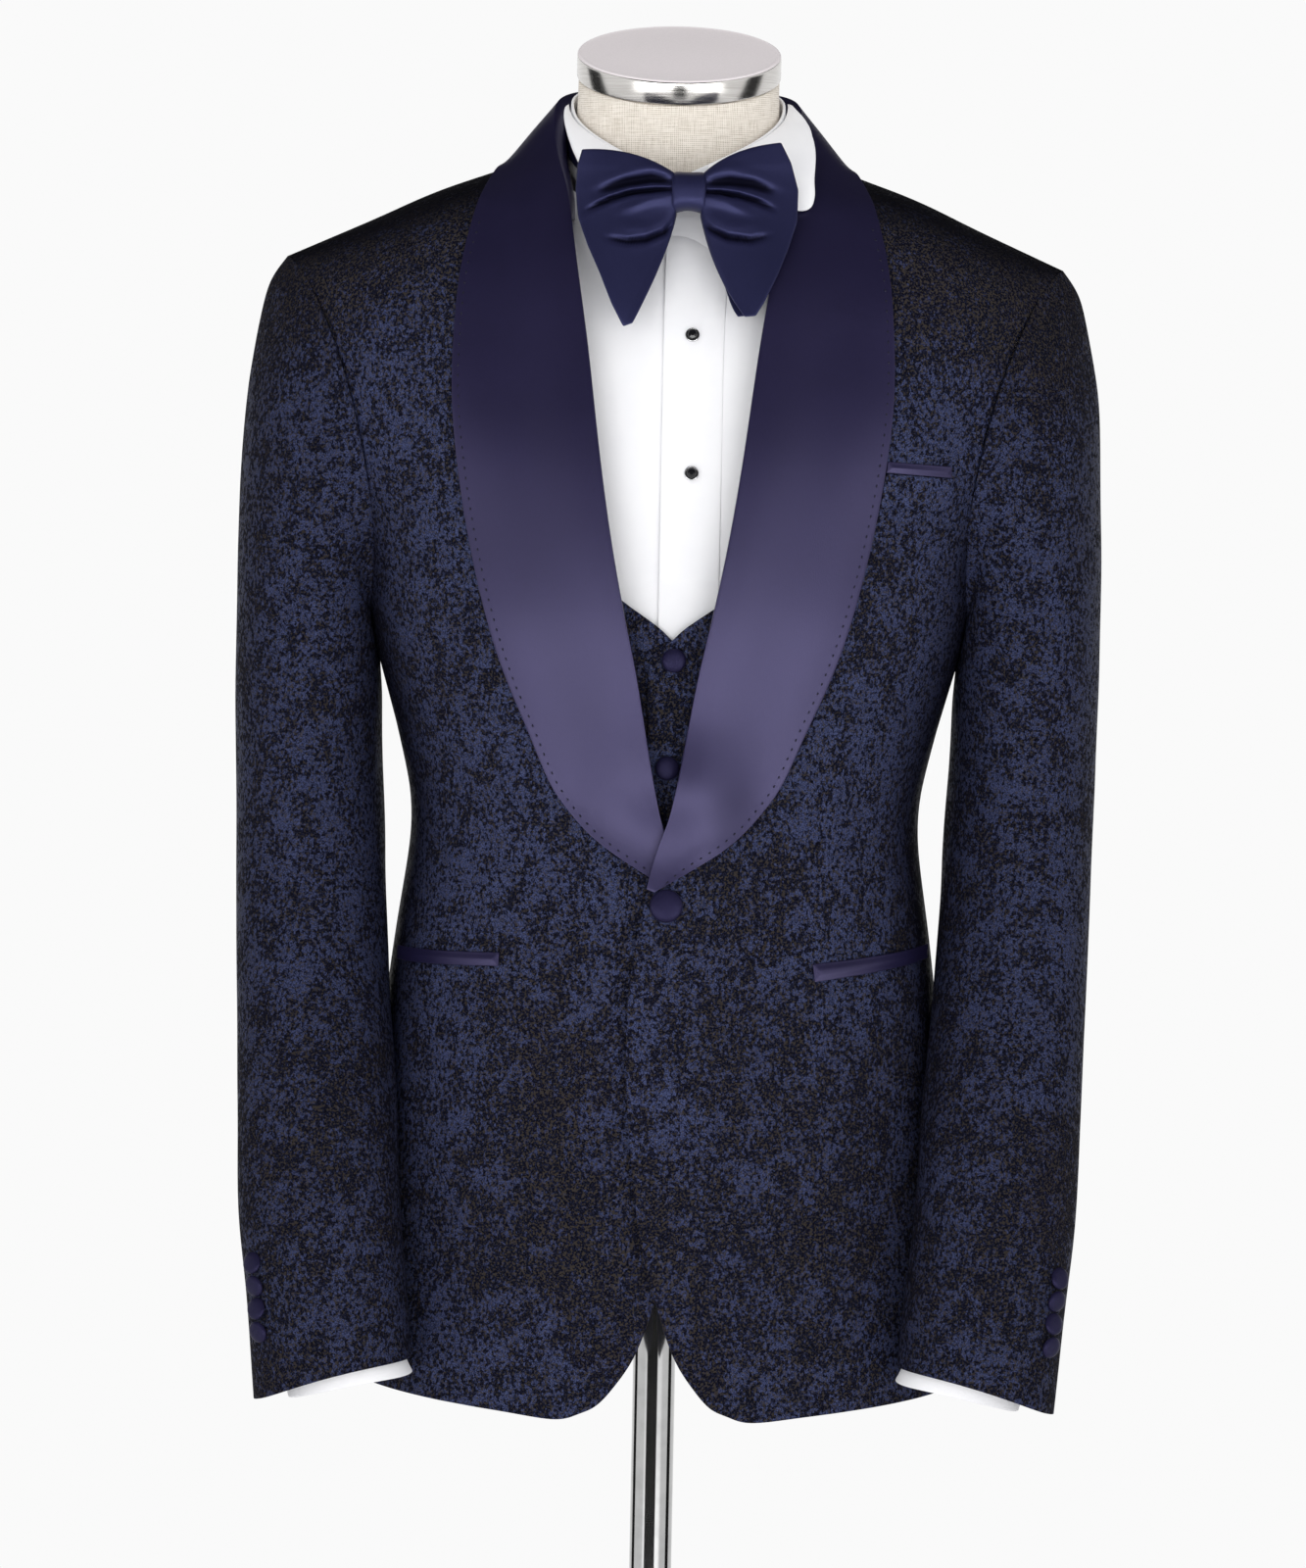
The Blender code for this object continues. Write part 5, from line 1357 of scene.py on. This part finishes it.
def linen_form():
    """A closed solid made of quads and smoothed, with its sharp edges kept."""
    work = merged("form_torso")
    into_quads(work)
    crease = work.edges.layers.float.new("crease_edge")
    for edge in work.edges:
        if edge.calc_face_angle(0.0) > CREASED:
            edge[crease] = CREASE
    piece = from_work("form_torso_cover", work, LINEN)
    subdivided(piece, 2)
    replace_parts(piece, "form_torso")


linen_form()

# %% Cap, pole and base
CAP_TOP, CAP_TILT = Vector((0, -0.0080, 1.5375)), math.radians(17.8)
CAP_RADIUS, CAP_HEIGHT, CAP_BAND = 0.0595, 0.0150, 0.88
CAP_SHAPE = (
    (0.0, 0.0), (0.94, 0.0), (0.965, 0.010), (0.972, 0.045), (0.985, 0.055), (0.997, 0.075),
    (1.0, 0.11),
    (1.0, 0.80), (0.999, 0.88), (0.996, 0.94), (0.990, 0.975), (0.980, 0.995), (0.970, 1.0),
    (0.962, 0.995), (0.955, 0.985), (0.940, 0.982), (0.60, 1.01), (0.30, 1.035), (0.0, 1.045),
)
BASE_SHAPE = (
    (0, 0), (0.1795, 0), (0.1800, 0.0006), (0.1800, 0.0060), (0.1794, 0.0074), (0.1778, 0.0088),
    (0.1755, 0.0097), (0.1720, 0.0100), (0.0300, 0.0104), (0.0262, 0.0112), (0.0232, 0.0130),
    (0.0214, 0.0160), (0.0206, 0.0220), (0.0202, 0.0300), (0.0196, 0.0328), (0.0180, 0.0340),
    (0.0130, 0.0340), (0.0128, 0.0330), (0.0128, 0.0097), (0, 0.0097),
)
POLE_SHAPE = (
    (0, 0.0100), (0.0125, 0.0100), (0.0125, 0.4000), (0.0125, 0.8312), (0.0120, 0.8317),
    (0, 0.8317),
)


def turned_piece(name, node, shape, steps, foot, way, *materials):
    """A turned part. Its second finish, if it has one, covers all above its band."""
    work = turned(shape, steps)
    map_turned(work)
    if len(materials) > 1:
        top = max(height for _, height in shape)
        for face in work.faces:
            face.material_index = int(face.calc_center_median().z > CAP_BAND * top)
    onto(work, foot, way)
    piece = from_work(name, work, *materials)
    piece.data.set_sharp_from_angle(angle=math.radians(38))
    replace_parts(piece, node)


cap_way = Vector((0, -math.sin(CAP_TILT), math.cos(CAP_TILT)))
cap_shape = [(r * CAP_RADIUS, h * CAP_HEIGHT) for r, h in CAP_SHAPE]
turned_piece(
    "neck_cap_turned", "neck_cap", cap_shape, 96, CAP_TOP - cap_way * CAP_HEIGHT, cap_way,
    CAP_STEEL, CAP_TOP_STEEL,
)
turned_piece("stand_pole_tube", "stand_pole", POLE_SHAPE, 64, Vector(), (0, 0, 1), CHROME)
turned_piece("stand_base_turned", "stand_base", BASE_SHAPE, 96, Vector(), (0, 0, 1), BASE_STEEL)

# %% [markdown]
# ## Stitches
#
# A stitch is a short slim bead of thread. Rows of places are dropped onto a finished sheet,
# and a bead is laid at each, turned along the row and half sunk into the cloth.


# %% Stitch helper
def tree_of(piece):
    work = bmesh.new()
    work.from_mesh(piece.data)
    tree = BVHTree.FromBMesh(work)
    work.free()
    return tree


def even_places(line, spacing):
    """Places at even spacing along a line of (x, z) points, with their directions."""
    places = np.array(line, float)
    runs = np.linalg.norm(np.diff(places, axis=0), axis=1)
    passed = np.concatenate([[0], np.cumsum(runs)])
    count = int(passed[-1] / spacing)
    found = []
    for distance in (np.arange(count) + 0.5) * passed[-1] / count:
        here = np.array([np.interp(distance, passed, places[:, k]) for k in (0, 1)])
        further = distance + 0.3 * spacing
        ahead = np.array([np.interp(further, passed, places[:, k]) for k in (0, 1)])
        found.append((here, ahead - here))
    return found


def stitch_row(name, piece, line, spacing, length, thick, sink, material):
    """Beads of thread along a line of (x, z) places, dropped on a sheet from the front."""
    tree, work, count = tree_of(piece), bmesh.new(), 0
    for (x, z), (dx, dz) in even_places(line, spacing):
        place, normal, _, _ = tree.ray_cast(Vector((x, -0.5, z)), Vector((0, 1, 0)))
        if place is None:
            continue
        if normal.y > 0:
            normal = -normal
        along = Vector((dx, 0, dz))
        along = (along - along.project(normal)).normalized()
        turn = Matrix((normal.cross(along), normal, along)).transposed().to_4x4()
        spot = Matrix.Translation(place - normal * thick * sink)
        size = Matrix.Diagonal((thick, thick, length / 2, 1))
        bmesh.ops.create_uvsphere(
            work, u_segments=6, v_segments=5, radius=1, matrix=spot @ turn @ size
        )
        count += 1
    if not count:
        raise RuntimeError(f"{name} lands on nothing")
    print(name, count, "stitches")
    return from_work(name, work, material)


# %% [markdown]
# The lapel's edge is picked by hand: small stitches three millimetres in from the edge.

# %% Pick stitches
LAPEL_EDGE = (
    (0.0020, 1.0590), (0.0140, 1.0690), (0.0310, 1.0800), (0.0455, 1.0920), (0.0583, 1.1070),
    (0.0675, 1.1220), (0.0790, 1.1490), (0.0925, 1.1800), (0.1045, 1.2170), (0.1150, 1.2620),
    (0.1222, 1.3060), (0.1255, 1.3420), (0.1250, 1.3750), (0.1220, 1.4100), (0.1150, 1.4400),
)
PICK_INSET, PICK_SPACING, PICK_LENGTH, PICK_THICK, PICK_SINK = 0.0030, 0.0058, 0.0019, 0.00060, 0.2


def inset_line(line, inset):
    """The line moved to its left-hand side, towards the front's middle."""
    places = np.array(line)
    run = np.gradient(places, axis=0)
    run /= np.linalg.norm(run, axis=1, keepdims=True)
    return places + inset * np.stack([-run[:, 1], run[:, 0]], axis=1)


def smooth_line(line, count=80):
    """A smooth curve through a line's points."""
    places = [Vector((x, 0, z)) for x, z in line]
    ends = [2 * places[0] - places[1], *places, 2 * places[-1] - places[-2]]
    found = []
    for k in range(count + 1):
        t = k / count * (len(places) - 1)
        i = min(int(t), len(places) - 2)
        a, b, c, d = ends[i : i + 4]
        t -= i
        square, cube = 2 * a - 5 * b + 4 * c - d, 3 * b - a - 3 * c + d
        point = 0.5 * (2 * b + (c - a) * t + square * t**2 + cube * t**3)
        found.append((point.x, point.z))
    return found


for end, side in SIDES.items():
    line = [(side * x, z) for x, z in inset_line(smooth_line(LAPEL_EDGE), PICK_INSET)]
    row = stitch_row(
        f"pick_stitches_{end}", SHEETS[f"lapel_{end}"], line,
        PICK_SPACING, PICK_LENGTH, PICK_THICK, PICK_SINK, THREAD,
    )

# %% [markdown]
# ## Cut sizes
#
# Each sheet of cloth is listed with the width and length of the rectangle that it is cut
# from, its own flat area, how it is held and what it lies on.

# %% Cut sizes
CUTS = {
    # sheet, with * for each side: width, length, flat area, how it is held, what it lies on
    "jacket_front_*": (0.30, 0.76, 0.1530, "draped", ["vest_front_*", "shirt_front_*"]),
    "jacket_back_*": (0.26, 0.75, 0.1630, "draped", ["vest_back", "shirt_back"]),
    "sleeve_*": (0.40, 0.66, 0.1780, "hung", ["jacket_front_*", "jacket_back_*"]),
    "lapel_*": (0.13, 0.60, 0.0400, "folded", ["jacket_front_*", "jacket_back_*"]),
    "collar_stand_*": (0.026, 0.22, 0.0051, "folded", ["lapel_*"]),
    "breast_jet": (0.010, 0.040, 0.0003, "folded", ["jacket_front_left"]),
    "hip_jet_left": (0.012, 0.080, 0.0009, "folded", ["jacket_front_left"]),
    "hip_jet_right": (0.010, 0.070, 0.0007, "folded", ["jacket_front_right"]),
    "breast_welt": (0.020, 0.046, 0.0009, "folded", ["jacket_front_left"]),
    "vest_front_left": (0.24, 0.54, 0.0860, "draped", ["shirt_front_left"]),
    "vest_front_right": (0.24, 0.54, 0.0870, "draped", ["shirt_front_right"]),
    "vest_back": (0.42, 0.52, 0.2050, "draped", ["shirt_back"]),
    "shirt_front_left": (0.26, 0.62, 0.1170, "draped", ["form_torso"]),
    "shirt_front_right": (0.26, 0.62, 0.1300, "draped", ["form_torso"]),
    "shirt_back": (0.46, 0.62, 0.2450, "draped", ["form_torso"]),
    "shirt_placket": (0.035, 0.325, 0.0113, "folded", ["shirt_front_left"]),
    "shirt_sleeve_*": (0.36, 0.60, 0.1370, "hung", ["shirt_front_*", "shirt_back"]),
    "shirt_cuff_*": (0.25, 0.07, 0.0132, "folded", ["shirt_sleeve_*"]),
    "collar_wing_left": (0.06, 0.12, 0.0039, "folded", ["collar_band"]),
    "collar_wing_right": (0.045, 0.10, 0.0020, "folded", ["collar_band"]),
    "collar_band": (0.42, 0.045, 0.0146, "folded", ["form_torso"]),
    "shirt_neckline": (0.10, 0.055, 0.0029, "draped", ["form_torso"]),
    "neck_band": (0.42, 0.017, 0.0069, "folded", ["collar_band"]),
    "bow_wing_left_front": (0.075, 0.11, 0.0047, "gathered", ["bow_knot"]),
    "bow_wing_left_rear": (0.075, 0.11, 0.0044, "gathered", ["bow_knot"]),
    "bow_wing_right_front": (0.075, 0.11, 0.0048, "gathered", ["bow_knot"]),
    "bow_wing_right_rear": (0.075, 0.11, 0.0041, "gathered", ["bow_knot"]),
    "bow_knot": (0.021, 0.092, None, "folded", ["neck_band"]),
}
declared = 0
for row, (width, length, area, held, below) in CUTS.items():
    for end in SIDES if "*" in row else ("",):
        piece = SHEETS[row.replace("*", end)]
        print("sheet", piece.name, round(area_of(piece.data), 4), "m2 of mesh")
        declared += 1
print(declared, "of", len(SHEETS), "sheets declared")

# %% Last lines
FINISHES = {
    "jacquard": JACQUARD, "satin": SATIN, "bow_satin": BOW_SATIN, "shirt_cotton": COTTON,
    "stud_black": STUD_BLACK, "linen": LINEN, "brushed_steel": CAP_STEEL, "chrome": CHROME,
}
for part in frame["record"]["subparts"]:
    mesh = nodes[part["node"]].data
    mesh.materials.clear()
    mesh.materials.append(FINISHES[part["material_slot"]])
